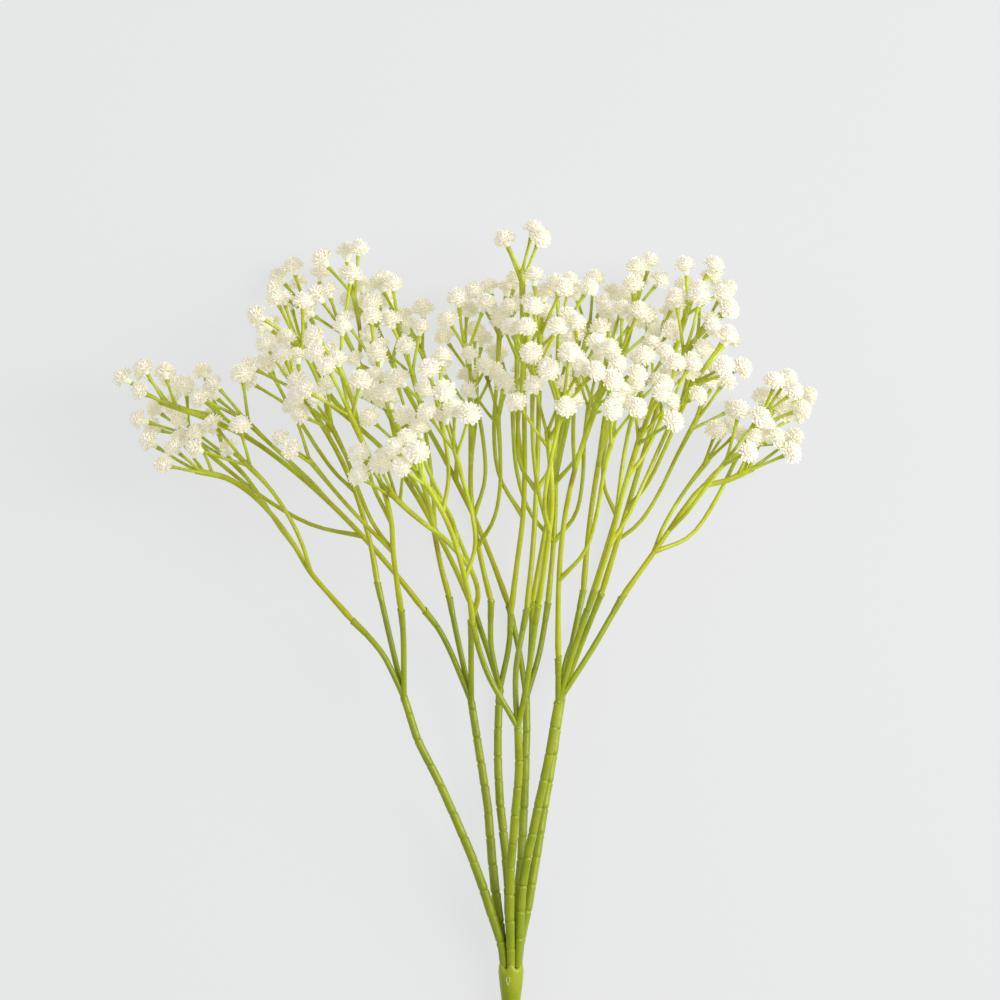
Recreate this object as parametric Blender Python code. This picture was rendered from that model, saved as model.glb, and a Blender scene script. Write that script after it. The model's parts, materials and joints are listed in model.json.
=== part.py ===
"""Artificial gypsophila bush, lying down. Built in metres, +Z up; the layout is worked out in millimetres.

The plant is laid out as the photograph sees it: u to the right, v up along the stem from the
photograph's lower edge, w towards the viewer. It is then laid on its back, so that the top of the
bush points along +Y and the viewer looks down on it, resting on its stub and its lowest heads.
"""
import math
import random

import bmesh
import bpy
import numpy as np
from mathutils import Matrix, Vector

# How it lies: the tilt in degrees, the stub below the photograph's edge, and how far a head is pressed flat
TILT_DEG = 9.0
STUB_LENGTH = 30.0
FLAT_DEPTH = 1.4

# Collar, moulded round the feet of the seven stems
STUB_R = 3.8
STUB_TOP = 0.5
NECK_R = 4.9
NECK_TOP = 4.5
COLLAR_R = 5.9
COLLAR_TOP = 17.0
COLLAR_SHOULDER = 3.0
COLLAR_TAPER = 0.3
COLLAR_SIDES = 12

# Bamboo-like main stems
STEM_SIDES = 6
STEM_POINTS = 24
STEM_FINE_POINTS = 120
STEM_STRAIGHT = 3.0
STEM_FOOT_LENGTH = 2.2
STEM_FOOT_R = 1.65
STEM_WIDE_R = 2.0
STEM_TOP_R = 1.6
STEM_SWELLS_BY = 0.2
RING_PITCH = 25.0
RING_FIRST = 15.0
RING_STEP = 0.22
RING_LENGTH = 0.5
RING_CLEAR_OF_END = 3.0

# Prongs that end in the sleeves for the sprigs
PRONG_SIDES = 4
PRONG_POINTS = 5
PRONG_R = 1.05
PRONG_ROOT = 2.0
SLEEVE_R = 1.3
SLEEVE_RIM_R = 1.5
SLEEVE_LENGTH = 9.0
SLEEVE_SHARE = 0.8
SLEEVE_STEP = 0.6

# Sprigs: an axis, the shoots that leave it, and the pedicels that fan out at each knot
SEAT_GAP = 0.3
AXIS_POINTS = 8
AXIS_FOOT_R = 1.0
AXIS_TOP_R = 0.8
SHOOT_R = 0.78
ROD_SIDES = 4
ROD_OVERRUN = 0.8
PEDICEL_R = 0.68
PEDICEL_TIP_R = 1.15
PEDICEL_SIDES = 3
PEDICEL_SHORT = 13.0
PEDICEL_LONG = 22.0
PEDICEL_STEP = 1.8
SPREAD_DEG = 40.0
WIDEST_DEG = 75.0
GOLDEN_ANGLE = 2.39996
FAN_POINT = (0.0, 130.0, 0.0)

# Flower heads: two layers of three petals each, over a short calyx
HEAD_R = 4.5
HEAD_MIDDLE = 4.6
HEAD_SIDES = 6
HEAD_FLOOR = 2.3
LOWER_HEIGHT, LOWER_TIP_R, LOWER_NOTCH_R, LOWER_DROOP = 4.0, 4.5, 3.1, 0.5
UPPER_HEIGHT, UPPER_TIP_R, UPPER_NOTCH_R = 6.7, 3.4, 2.4
HEAD_TOP = 8.0

# How a side shoot bows: how steeply it starts, where its curve's handles lie, and how far it wanders
SHOOT_RISE = 0.75
SHOOT_HANDLE = 0.36
SHOOT_LATE_BOW = 0.6
LONG_SHOOT_BELOW = 0.6
SHOOT_POINTS, LONG_SHOOT_POINTS = 4, 5
WANDER = 2
WANDER_STEP = 0.1

# Clearances between the pieces, and the floor's
NODE_GAP = 0.6
HEAD_SPACE_R = HEAD_R + 0.1
HEAD_APART = 8.6
SETTLE = 6.0
TIP_FLOOR = 1.6
SHOOT_FLOOR = 1.2
DOT = 0.01
UNBOUNDED = 99.0
CURVE_STEPS = 12

# The seeded draw of what the photograph doesn't settle
SEED = 231
SHOOT_TRIES = 160
HEAD_TRIES = 260
LOOSEN_OVER = 120

# Mesh clean-up, tried in this order: the flat angle in degrees and the weld in metres
TIDY_STEPS = ((1.0, 2e-6), (1.0, 1e-6), (0.2, 2e-6), (0.2, 1e-6), (0.02, 1e-6), (0.0, 1e-6))

# Colours and roughness
STEM_GREEN, STEM_ROUGHNESS = (0.27, 0.37, 0.03, 1.0), 0.4
PETAL_CREAM, PETAL_ROUGHNESS = (0.88, 0.85, 0.74, 1.0), 0.6

# Each stem: its route from the collar to its fork (u, v, w)
STEMS = {
    "a": [(-3.25, 17, 1.9), (-7, 34, 3), (-18.5, 67, 6), (-31.5, 97, 9), (-41, 116, 11), (-48, 137, 12)],
    "b": [(-3.25, 17, -1.9), (-7.5, 54, -3.5), (-11, 90, -8), (-15, 115, -11), (-18, 134, -13)],
    "c": [(0, 17, 0), (-1.5, 54, -5.5), (-5, 90, -15), (-6, 115, -22), (-5, 139, -28)],
    "d": [(0, 17, 3.75), (-0.5, 54, 8), (2, 86, 15), (3.5, 106, 20), (3, 124, 25)],
    "e": [(0, 17, -3.75), (4, 54, -11), (6, 90, -18), (7, 115, -23), (7, 135, -26)],
    "f": [(3.25, 17, 1.9), (5, 50, 4), (10, 77, 8), (16, 106, 13), (21, 135, 18)],
    "g": [(3.25, 17, -1.9), (9, 50, -4), (13.5, 77, -8), (18.5, 106, -12), (23, 135, -16)],
}

# Each sprig: the bends of its prong and its sleeve, the bends of its axis, then its umbels, each one as
# the fraction of the axis where its shoot leaves, the knot (u, v, w) and how many heads it carries
SPRIGS = {
    "a1": ([(-58, 157, 13), (-71, 171, 11)], [(-91, 194, 8), (-102, 212, 6), (-122, 232, 5)],
           [(1, -141, 238, 4, 5), (0.43, -130, 246, -13, 4), (0.35, -119, 242, 16, 4)]),
    "a2": ([(-54, 162, 8), (-60, 188, 5)], [(-64, 209, 5), (-72, 234, 6), (-85, 259, 8)],
           [(1, -98, 277, 10, 5), (0.7, -97, 298, -4, 5), (0.39, -102, 270, -16, 4)]),
    "a3": ([(-48, 162, 18), (-49, 176, 24)], [(-52, 198, 32), (-55, 225, 40)],
           [(1, -72, 265, 50, 5), (0.43, -76, 284, 36, 4),
            (0.35, -81, 260, 30, 4), (0.25, -90, 243, 22, 3)]),
    "b1": ([(-30, 162, -13), (-39, 175, -10)],
           [(-59, 200, -4), (-84, 226, 0), (-112, 249, 2), (-135, 261, 4)],
           [(1, -157, 269, 5, 5), (0.29, -148, 256, -12, 4),
            (0.72, -134, 266, -10, 4), (0.42, -120, 262, 14, 4)]),
    "b2": ([(-25, 166, -17), (-28, 181, -19)], [(-32, 196, -17), (-39, 230, -8), (-50, 256, 0)],
           [(1, -57, 270, 8, 5), (0.39, -62, 287, -12, 4), (0.28, -45, 284, -14, 4)]),
    "b3": ([(-18, 155, -8), (-18, 171, -2)], [(-15, 187, 6), (-27, 205, 18), (-43, 218, 32)],
           [(1, -53, 228, 44, 5), (0.43, -51, 251, 40, 4), (0.35, -45, 259, 24, 4)]),
    "c1": ([(-11, 158, -31), (-17, 175, -33)], [(-32, 207, -37), (-54, 243, -40), (-81, 270, -42)],
           [(1, -95, 295, -48, 4), (0.8, -95, 314, -50, 5),
            (0.75, -72, 320, -30, 4), (0.42, -78, 305, -22, 4)]),
    "c2": ([(-1, 158, -29), (0, 173, -28)], [(3, 198, -26), (6, 225, -24), (6, 270, -18)],
           [(1, 5, 328, -12, 4), (0.35, -5, 305, -26, 5), (0.42, 3, 295, -32, 4)]),
    "c3": ([(-9, 158, -25), (-9, 179, -22)], [(-14, 200, -20), (-18, 225, -17), (-18, 252, -14)],
           [(1, -18, 268, -12, 5), (0.7, -16, 283, -28, 4),
            (0.32, -6, 264, 2, 4), (0.42, -21, 296, -16, 4)]),
    "d1": ([(-11, 149, 28), (-17, 170, 34)], [(-19, 184, 40), (-25, 207, 48), (-32, 223, 54)],
           [(1, -41, 237, 60, 5), (0.7, -32, 264, 52, 4), (0.35, -25, 248, 58, 4)]),
    "d2": ([(7, 144, 30), (12, 179, 36)], [(15, 198, 42), (18, 225, 48)],
           [(1, 16, 255, 50, 5), (0.42, 23, 269, 60, 5), (0.42, 10, 283, 34, 4)]),
    "d3": ([(2, 148, 24), (7, 176, 22)], [(10, 207, 18), (12, 248, 12)],
           [(1, 13, 300, 10, 5), (0.42, 6, 292, 0, 4), (0.39, 22, 303, -4, 4)]),
    "e1": ([(9, 155, -29), (10, 178, -29)], [(15, 207, -33), (24, 252, -34)],
           [(1, 36, 305, -34, 5), (0.42, 45, 295, -22, 4), (0.28, 30, 285, -42, 4)]),
    "e2": ([(4, 155, -30), (-1, 177, -33)], [(-14, 211, -38), (-32, 247, -43), (-50, 279, -44)],
           [(1, -63, 307, -42, 5), (0.8, -51, 306, -28, 4), (0.45, -41, 294, -36, 4)]),
    "e3": ([(13, 155, -31), (17, 178, -34)], [(20, 212, -38), (21, 248, -43)],
           [(1, 22, 275, -46, 5), (0.35, 1, 277, -44, 4), (0.35, 36, 269, -46, 4)]),
    "f1": ([(21, 155, 24)], [(21, 184, 28), (23, 212, 36), (28, 238, 44)],
           [(1, 39, 271, 46, 5), (0.35, 45, 254, 52, 4), (0.7, 30, 282, 26, 4)]),
    "f2": ([(28, 158, 21), (37, 184, 23)], [(44, 206, 28), (50, 230, 34)],
           [(1, 58, 256, 40, 5), (0.7, 69, 266, 30, 4), (0.42, 58, 274, 20, 4), (0.24, 78, 272, 6, 4)]),
    "f3": ([(36, 158, 16), (50, 182, 12)], [(65, 203, 10), (84, 229, 8), (95, 233, 8)],
           [(1, 108, 239, 8, 5), (0.72, 112, 254, -8, 5), (0.39, 98, 245, 20, 4),
            (0.24, 115, 265, 2, 5), (0.3, 89, 243, -8, 3)]),
    "g1": ([(27, 156, -19), (33, 184, -25)], [(36, 216, -26), (42, 252, -26)],
           [(1, 57, 314, -28, 5), (0.7, 63, 293, -14, 5), (0.42, 49, 292, -4, 4)]),
    "g2": ([(30, 155, -14), (41, 183, -10)], [(51, 216, -10), (63, 256, -12)],
           [(1, 81, 314, -22, 5), (0.75, 86, 302, -8, 4), (0.7, 79, 294, 4, 4), (0.35, 84, 281, 14, 4)]),
    "g3": ([(25, 152, -25), (35, 175, -33)], [(45, 207, -38), (56, 243, -42)],
           [(1, 67, 275, -46, 5), (0.39, 50, 274, -48, 4), (0.35, 85, 262, -38, 4)]),
}


def unit(v):
    return v / np.linalg.norm(v)


def smooth(points, count):
    """Evenly spaced points along a Catmull-Rom curve through the given ones."""
    p = [np.array(q, float) for q in points]
    p = [2 * p[0] - p[1], *p, 2 * p[-1] - p[-2]]
    fine = []
    for a, b, c, d in zip(p, p[1:], p[2:], p[3:]):
        bend, twist = 2 * a - 5 * b + 4 * c - d, 3 * b - a - 3 * c + d
        for t in np.linspace(0, 1, CURVE_STEPS, endpoint=False):
            fine.append(0.5 * (2 * b + (c - a) * t + bend * t**2 + twist * t**3))
    fine = np.array([*fine, p[-2]])
    along = lengths_along(fine)
    at = np.linspace(0, along[-1], count)
    return np.stack([np.interp(at, along, fine[:, k]) for k in range(3)], axis=1)


def lengths_along(line):
    """How far along a line each of its points lies."""
    return np.concatenate([[0], np.cumsum(np.linalg.norm(np.diff(line, axis=0), axis=1))])


def back_along(line, distance):
    """The point that lies this far back from the end of a line."""
    for p, q in zip(line[::-1], line[-2::-1]):
        span = float(np.linalg.norm(q - p))
        if distance <= span:
            return p + (q - p) * distance / span
        distance -= span
    return line[0]


def segment_distance(p, q, a, b):
    """The distance from the segment p-q to each of the segments a-b."""
    d1, d2, r = q - p, b - a, p - a
    aa, ee = d1 @ d1 + 1e-9, (d2 * d2).sum(1) + 1e-9
    f, c, bb = (d2 * r).sum(1), r @ d1, d2 @ d1
    s = np.clip((bb * f - c * ee) / np.maximum(aa * ee - bb * bb, 1e-9), 0, 1)
    t = np.clip((bb * s + f) / ee, 0, 1)
    s = np.clip((bb * t - c) / aa, 0, 1)
    return np.linalg.norm(p + s[:, None] * d1 - a - t[:, None] * d2, axis=1)


class Room:
    """The rounded rods and balls that the plant already fills, so one piece stays clear of the next."""

    def __init__(self):
        self.a, self.b, self.r, self.piece = [], [], [], []

    def add(self, piece, line, r):
        for p, q in zip(line[:-1], line[1:]):
            self.a.append(p)
            self.b.append(q)
            self.r.append(r)
            self.piece.append(piece)

    def gap(self, piece, line, r):
        """The least gap between a line of radius r and whatever belongs to other pieces."""
        others = np.array([n != piece for n in self.piece])
        if not others.any():
            return UNBOUNDED
        a, b, radius = (np.array(values)[others] for values in (self.a, self.b, self.r))
        pairs = zip(line[:-1], line[1:])
        return min(float((segment_distance(p, q, a, b) - radius).min()) - r for p, q in pairs)


def lie_down(p):
    """Take a point (u, v, w) of the plant to where it lies, with the floor at height zero."""
    t = math.radians(TILT_DEG)
    up = p[1] + STUB_LENGTH
    along = up * math.cos(t) - p[2] * math.sin(t)
    return np.array([p[0], along, (p[2] + STUB_R) * math.cos(t) + up * math.sin(t)])


def depth_at(v, height):
    """The w at which a point at v along the stem lies that high above the floor."""
    t = math.radians(TILT_DEG)
    return (height - (v + STUB_LENGTH) * math.sin(t)) / math.cos(t) - STUB_R


def dot_at(p):
    """A line so short that it stands for a point."""
    return np.array([p, p + DOT])


def side_shoot(axis, fraction, knot, aim, rng, wander):
    """A shoot that leaves the axis sideways, bows out and turns up into its umbel."""
    i = min(len(axis) - 2, max(1, round(fraction * (len(axis) - 1))))
    start, along = axis[i], unit(axis[i + 1] - axis[i - 1])
    reach = np.linalg.norm(knot - start)
    across = knot - start - along * np.dot(knot - start, along)
    bow = np.array([rng.uniform(-1, 1) * 0.5, rng.uniform(-1, 1) * 0.5, rng.uniform(-1, 1)]) * wander
    b = start + unit(SHOOT_RISE * along + unit(across)) * reach * SHOOT_HANDLE + bow
    c = knot - aim * reach * SHOOT_HANDLE + bow * SHOOT_LATE_BOW
    count = LONG_SHOOT_POINTS if fraction < LONG_SHOOT_BELOW else SHOOT_POINTS
    t = np.linspace(0, 1, count)[:, None]
    return (1 - t) ** 3 * start + 3 * (1 - t) ** 2 * t * b + 3 * (1 - t) * t**2 * c + t**3 * knot


def free_shoot(name, axis, fraction, knot, room, rng):
    """The first side shoot that keeps clear of the other pieces and the floor, or the least bad one."""
    best = None
    for attempt in range(SHOOT_TRIES):
        shoot = side_shoot(axis, fraction, knot, unit(knot - FAN_POINT), rng, WANDER + attempt * WANDER_STEP)
        above = min(p[2] - depth_at(p[1], SHOOT_FLOOR) for p in shoot)
        score = min(room.gap(name, shoot, SHOOT_R) - NODE_GAP, above)
        if best is None or score > best[0]:
            best = (score, shoot)
        if score > 0:
            break
    return best[1]


def settled(knot, tip, way):
    """Where a head comes to lie: one that hangs near the floor drops until it is pressed flat on it."""
    middle = tip + way * HEAD_MIDDLE
    floor = depth_at(middle[1], HEAD_R - FLAT_DEPTH)
    if middle[2] < floor + SETTLE:
        middle = np.array([middle[0], middle[1], floor])
        way = unit(middle - knot)
        tip = middle - way * HEAD_MIDDLE
    return tip, way, middle


def umbel(piece, line, aim, count, room, taken, rng):
    """Pedicels that fan out from the end of a line, each drawn again until its head has room."""
    side = unit(np.cross(aim, [0.3, 0.2, 1.0]))
    other = np.cross(aim, side)
    turn = rng.uniform(0, 2 * math.pi)
    made = []
    for i in range(count):
        knot = back_along(line, i * PEDICEL_STEP)
        best = None
        for attempt in range(HEAD_TRIES):
            loose = 1 + attempt / LOOSEN_OVER
            polar = math.radians(SPREAD_DEG) * math.sqrt((i + 0.5) / count) * loose * rng.uniform(0.8, 1.15)
            polar = min(polar, math.radians(WIDEST_DEG))
            around = turn + i * GOLDEN_ANGLE + rng.uniform(-0.5, 0.5) * loose
            outward = side * math.cos(around) + other * math.sin(around)
            way = aim * math.cos(polar) + outward * math.sin(polar)
            tip, way, middle = settled(knot, knot + way * rng.uniform(PEDICEL_SHORT, PEDICEL_LONG), way)
            if tip[2] < depth_at(tip[1], TIP_FLOOR):
                continue
            stalk = room.gap(piece, np.array([knot, tip]), PEDICEL_TIP_R)
            free = min(room.gap(piece, dot_at(middle), HEAD_SPACE_R), stalk)
            apart = min([np.linalg.norm(middle - h) for h in taken] + [UNBOUNDED]) - HEAD_APART
            score = min(free - NODE_GAP, apart)
            if best is None or score > best[0]:
                best = (score, tip, way, middle)
            if score > 0:
                break
        score, tip, way, middle = best
        taken.append(middle)
        room.add(piece, np.array([knot, tip]), PEDICEL_TIP_R)
        room.add(piece, dot_at(middle), HEAD_SPACE_R)
        made.append((knot, tip, way))
    return made


def grow():
    """Lay the whole plant out: stems, prongs, axes, then shoots and heads where there is room."""
    rng = random.Random(SEED)
    room = Room()
    stems, prongs, sprigs = {}, {}, {}
    for name, route in STEMS.items():
        foot = route[0]
        stems[name] = smooth([foot, (foot[0], foot[1] + STEM_STRAIGHT, foot[2]), *route[1:]], STEM_POINTS)
        room.add("stem " + name, stems[name][1:], STEM_WIDE_R)
    for name, (prong, rise, umbels) in SPRIGS.items():
        prongs[name] = smooth([STEMS[name[0]][-1], *prong], PRONG_POINTS)
        room.add("stem " + name[0], prongs[name], SLEEVE_RIM_R)
    for name, (prong, rise, umbels) in SPRIGS.items():
        sleeve = np.array(prong[-1], float)
        foot = sleeve + unit(np.array(rise[0]) - sleeve) * SEAT_GAP
        axis = smooth([foot, *rise, umbels[0][1:4]], AXIS_POINTS)
        sprigs[name] = {"axis": axis, "shoots": [], "heads": []}
        room.add(name, axis[1:], AXIS_FOOT_R)
    for name, (prong, rise, umbels) in SPRIGS.items():
        for fraction, u, v, w, count in umbels[1:]:
            shoot = free_shoot(name, sprigs[name]["axis"], fraction, np.array([u, v, w], float), room, rng)
            room.add(name, shoot, SHOOT_R)
            sprigs[name]["shoots"].append(shoot)
    for name, (prong, rise, umbels) in SPRIGS.items():
        taken = []
        lines = [sprigs[name]["axis"], *sprigs[name]["shoots"]]
        for line, (fraction, u, v, w, count) in zip(lines, umbels):
            aim = unit(np.array([u, v, w]) - FAN_POINT)
            sprigs[name]["heads"] += umbel(name, line, aim, count, room, taken, rng)
    return stems, prongs, sprigs


def metres(p):
    return Vector(lie_down(p) * 0.001)


def new_object(name, mesh):
    obj = bpy.data.objects.new(name, mesh)
    bpy.context.scene.collection.objects.link(obj)
    return obj


def tube(name, line, radii, sides):
    """A closed round rod along a line, its radius given point by point."""
    curve = bpy.data.curves.new(name, "CURVE")
    curve.dimensions = "3D"
    curve.bevel_depth = 1.0
    curve.bevel_resolution = (sides - 4) // 2
    curve.use_fill_caps = True
    spline = curve.splines.new("POLY")
    spline.points.add(len(line) - 1)
    for point, p, r in zip(spline.points, line, radii):
        point.co = (*metres(p), 1.0)
        point.radius = r * 0.001
    source = new_object(name, curve)
    bpy.context.view_layer.update()
    graph = bpy.context.evaluated_depsgraph_get()
    obj = new_object(name, bpy.data.meshes.new_from_object(source.evaluated_get(graph)))
    obj.matrix_world = source.matrix_world
    bpy.data.objects.remove(source)
    tidy(obj)
    return obj


def is_one_body(bm):
    """True where every edge has two faces and all the faces hang together across edges."""
    if not bm.faces or any(not e.is_manifold for e in bm.edges):
        return False
    bm.faces.ensure_lookup_table()
    reached, front = {bm.faces[0]}, [bm.faces[0]]
    while front:
        for e in front.pop().edges:
            for f in e.link_faces:
                if f not in reached:
                    reached.add(f)
                    front.append(f)
    return len(reached) == len(bm.faces) and all(v.is_manifold for v in bm.verts)


def tidied(mesh, flat_deg, weld):
    """The mesh with its doubles welded, its flat areas joined and split into triangles again."""
    bm = bmesh.new()
    bm.from_mesh(mesh)
    bmesh.ops.remove_doubles(bm, verts=bm.verts, dist=weld)
    if flat_deg > 0:
        bmesh.ops.dissolve_limit(bm, angle_limit=math.radians(flat_deg), verts=bm.verts, edges=bm.edges)
    bmesh.ops.triangulate(bm, faces=bm.faces)
    return bm


def tidy(obj):
    """Clean the mesh as coarsely as leaves it one closed body, and face it outwards."""
    for flat_deg, weld in TIDY_STEPS:
        bm = tidied(obj.data, flat_deg, weld)
        if is_one_body(bm):
            break
        bm.free()
    else:
        print("not one closed body:", obj.name)
        bm = tidied(obj.data, flat_deg, weld)
    bmesh.ops.recalc_face_normals(bm, faces=bm.faces)
    bm.to_mesh(obj.data)
    bm.free()


def placed(bm, start, way, turn):
    """Stand a mesh made along +Z, in millimetres, on a point of the plant, turned about its own way."""
    a, b = metres(start), metres(start + way)
    frame = (b - a).to_track_quat("Z", "Y").to_matrix().to_4x4()
    bm.transform(Matrix.Translation(a) @ frame @ Matrix.Rotation(turn, 4, "Z") @ Matrix.Scale(0.001, 4))


def petal_dome(bm):
    """The head's open dome: a coarse sphere, its rings pulled out to petal tips and in at the notches."""
    bmesh.ops.create_uvsphere(bm, u_segments=HEAD_SIDES, v_segments=3, radius=1.0)
    bmesh.ops.delete(bm, geom=[v for v in bm.verts if v.co.z < -0.9], context="VERTS")
    for v in bm.verts:
        around = math.atan2(v.co.y, v.co.x)
        petal = 0.5 + 0.5 * math.cos(around * HEAD_SIDES / 2)
        if v.co.z > 0.9:
            r, height = 0.0, HEAD_TOP
        elif v.co.z > 0:
            r, height = UPPER_TIP_R + (UPPER_NOTCH_R - UPPER_TIP_R) * petal, UPPER_HEIGHT
        else:
            r = LOWER_NOTCH_R + (LOWER_TIP_R - LOWER_NOTCH_R) * petal
            height = LOWER_HEIGHT - LOWER_DROOP * petal
        v.co = (r * math.cos(around), r * math.sin(around), height)


def bloom(knot, tip, way, turn):
    """A slim pedicel that flares into a head with two layers of notched petals."""
    foot = -float(np.linalg.norm(tip - knot))
    bm = bmesh.new()
    petal_dome(bm)
    rim = [e for e in bm.edges if e.is_boundary]
    stalk = bmesh.ops.create_cone(
        bm, cap_ends=True, segments=PEDICEL_SIDES,
        radius1=PEDICEL_R, radius2=PEDICEL_TIP_R, depth=HEAD_FLOOR - foot,
    )
    bmesh.ops.translate(bm, verts=stalk["verts"], vec=(0, 0, (HEAD_FLOOR + foot) / 2))
    top = [v for v in stalk["verts"] if v.co.z > 0]
    cap = [f for f in bm.faces if all(v in top for v in f.verts)]
    bmesh.ops.delete(bm, geom=cap, context="FACES_ONLY")
    mouth = [e for e in bm.edges if all(v in top for v in e.verts)]
    bmesh.ops.bridge_loops(bm, edges=rim + mouth)
    placed(bm, tip, way, turn)
    if min(v.co.z for v in bm.verts) < 0:
        everything = list(bm.verts) + list(bm.edges) + list(bm.faces)
        bmesh.ops.bisect_plane(bm, geom=everything, plane_co=(0, 0, 0), plane_no=(0, 0, 1), clear_inner=True)
        bmesh.ops.holes_fill(bm, edges=[e for e in bm.edges if e.is_boundary])
    mesh = bpy.data.meshes.new("bloom")
    bm.to_mesh(mesh)
    bm.free()
    obj = new_object("bloom", mesh)
    tidy(obj)
    return obj


def fuse(name, base, others, material):
    """Join a piece's branches and heads to its axis with one union, applied."""
    group = bpy.data.collections.new(name + " parts")
    bpy.context.scene.collection.children.link(group)
    for obj in others:
        bpy.context.scene.collection.objects.unlink(obj)
        group.objects.link(obj)
    union = base.modifiers.new("union", "BOOLEAN")
    union.operation = "UNION"
    union.operand_type = "COLLECTION"
    union.collection = group
    # The exact solver leaves two sprigs open, and this one closes all twenty-one
    union.solver = "MANIFOLD"
    bpy.context.view_layer.update()
    graph = bpy.context.evaluated_depsgraph_get()
    mesh = bpy.data.meshes.new_from_object(base.evaluated_get(graph))
    for obj in [base, *others]:
        bpy.data.objects.remove(obj)
    bpy.data.collections.remove(group)
    obj = new_object(name, mesh)
    tidy(obj)
    finish(obj, name, material)


def finish(obj, name, material):
    """Give a finished piece its name and its one material."""
    obj.name = name
    obj.data.name = name
    obj.data.materials.clear()
    obj.data.materials.append(material)
    for polygon in obj.data.polygons:
        polygon.material_index = 0


def plastic(name, colour, roughness):
    material = bpy.data.materials.new(name)
    material.use_nodes = True
    shader = material.node_tree.nodes["Principled BSDF"]
    shader.inputs["Base Color"].default_value = colour
    shader.inputs["Roughness"].default_value = roughness
    return material


def make_collar(material):
    """The moulded collar: a lathe-turned plug, narrow at the stub and wide where the stems leave it."""
    bm = bmesh.new()
    profile = [
        (0.0, -STUB_LENGTH),
        (STUB_R, -STUB_LENGTH),
        (STUB_R, STUB_TOP),
        (NECK_R, NECK_TOP),
        (COLLAR_R, COLLAR_TOP - COLLAR_SHOULDER),
        (COLLAR_R - COLLAR_TAPER, COLLAR_TOP),
        (0.0, COLLAR_TOP),
    ]
    ring = [bm.verts.new((r, 0, v)) for r, v in profile]
    edges = [bm.edges.new((a, b)) for a, b in zip(ring, ring[1:])]
    bmesh.ops.spin(bm, geom=ring + edges, axis=(0, 0, 1), angle=2 * math.pi, steps=COLLAR_SIDES)
    bmesh.ops.remove_doubles(bm, verts=bm.verts, dist=0.0005)
    for v in bm.verts:
        v.co = metres(np.array([v.co.x, v.co.z, v.co.y]))
    mesh = bpy.data.meshes.new("collar")
    bm.to_mesh(mesh)
    bm.free()
    obj = new_object("collar", mesh)
    tidy(obj)
    finish(obj, "collar", material)


def stem_stations(length):
    """How far along a stem its sections lie: its foot, then the two sides of each ring, then its end."""
    stations = [SEAT_GAP, SEAT_GAP + STEM_FOOT_LENGTH]
    ring = RING_FIRST
    while ring < length - RING_CLEAR_OF_END:
        stations += [ring, ring + RING_LENGTH]
        ring += RING_PITCH
    return [*stations, length]


def stem_radius(share):
    """The stem's radius at a share of its length: it swells above the collar, then tapers to its fork."""
    swell = STEM_FOOT_R + (STEM_WIDE_R - STEM_FOOT_R) * min(1.0, share / STEM_SWELLS_BY)
    return swell + (STEM_TOP_R - STEM_WIDE_R) * max(0.0, (share - STEM_SWELLS_BY) / (1 - STEM_SWELLS_BY))


def make_prong(prong):
    """A prong with its sleeve at the end, rooted a little inside the stem."""
    way = unit(prong[1] - prong[0])
    end = prong[-1] - prong[-2]
    span = float(np.linalg.norm(end))
    start = prong[-1] - end / span * min(SLEEVE_LENGTH, span * SLEEVE_SHARE)
    path = [prong[0] - way * PRONG_ROOT, *prong[:-1], start, start + end / span * SLEEVE_STEP, prong[-1]]
    widths = [PRONG_R] * (len(path) - 2) + [SLEEVE_R, SLEEVE_RIM_R]
    return tube("prong", path, widths, PRONG_SIDES)


def make_stem(name, line, prongs, material):
    """A main stem with raised rings, fused with the prongs that fork from its tip."""
    fine = smooth(line, STEM_FINE_POINTS)
    along = lengths_along(fine)
    stations = stem_stations(along[-1])
    points, radii = [], []
    for i, s in enumerate(stations):
        points.append(np.array([np.interp(s, along, fine[:, k]) for k in range(3)]))
        lip = i % 2 == 0 and 2 <= i < len(stations) - 1
        radii.append(stem_radius(s / along[-1]) + (RING_STEP if lip else 0.0))
    base = tube("stem", points, radii, STEM_SIDES)
    fuse(name, base, [make_prong(prong) for prong in prongs], material)


def overrun(line):
    """The line, a little longer, so that its end lies inside what joins it there."""
    return [*line, line[-1] + unit(line[-1] - line[-2]) * ROD_OVERRUN]


def make_sprig(name, sprig, rng, material):
    """An axis with its bowed shoots, and the heads that stand on pedicels at each knot."""
    axis = overrun(sprig["axis"])
    radii = [*np.linspace(AXIS_FOOT_R, AXIS_TOP_R, len(axis) - 1), AXIS_TOP_R]
    base = tube("axis", axis, radii, ROD_SIDES)
    others = []
    for shoot in map(overrun, sprig["shoots"]):
        others.append(tube("shoot", shoot, [SHOOT_R] * len(shoot), ROD_SIDES))
    for knot, tip, way in sprig["heads"]:
        others.append(bloom(knot, tip, way, rng.uniform(0, 2 * math.pi)))
    fuse(name, base, others, material)


def centre_on_origin():
    """Move everything so that the origin lies under the middle of the whole, on the floor."""
    corners = np.array([v.co for obj in bpy.data.objects for v in obj.data.vertices])
    shift = -(corners.min(0) + corners.max(0)) / 2
    shift[2] = 0.0
    for obj in bpy.data.objects:
        obj.data.transform(Matrix.Translation(shift))
    triangles = sum(len(obj.data.polygons) for obj in bpy.data.objects)
    print("moved by", np.round(shift * 1000, 3), "mm, to hold", triangles, "triangles")


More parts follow.
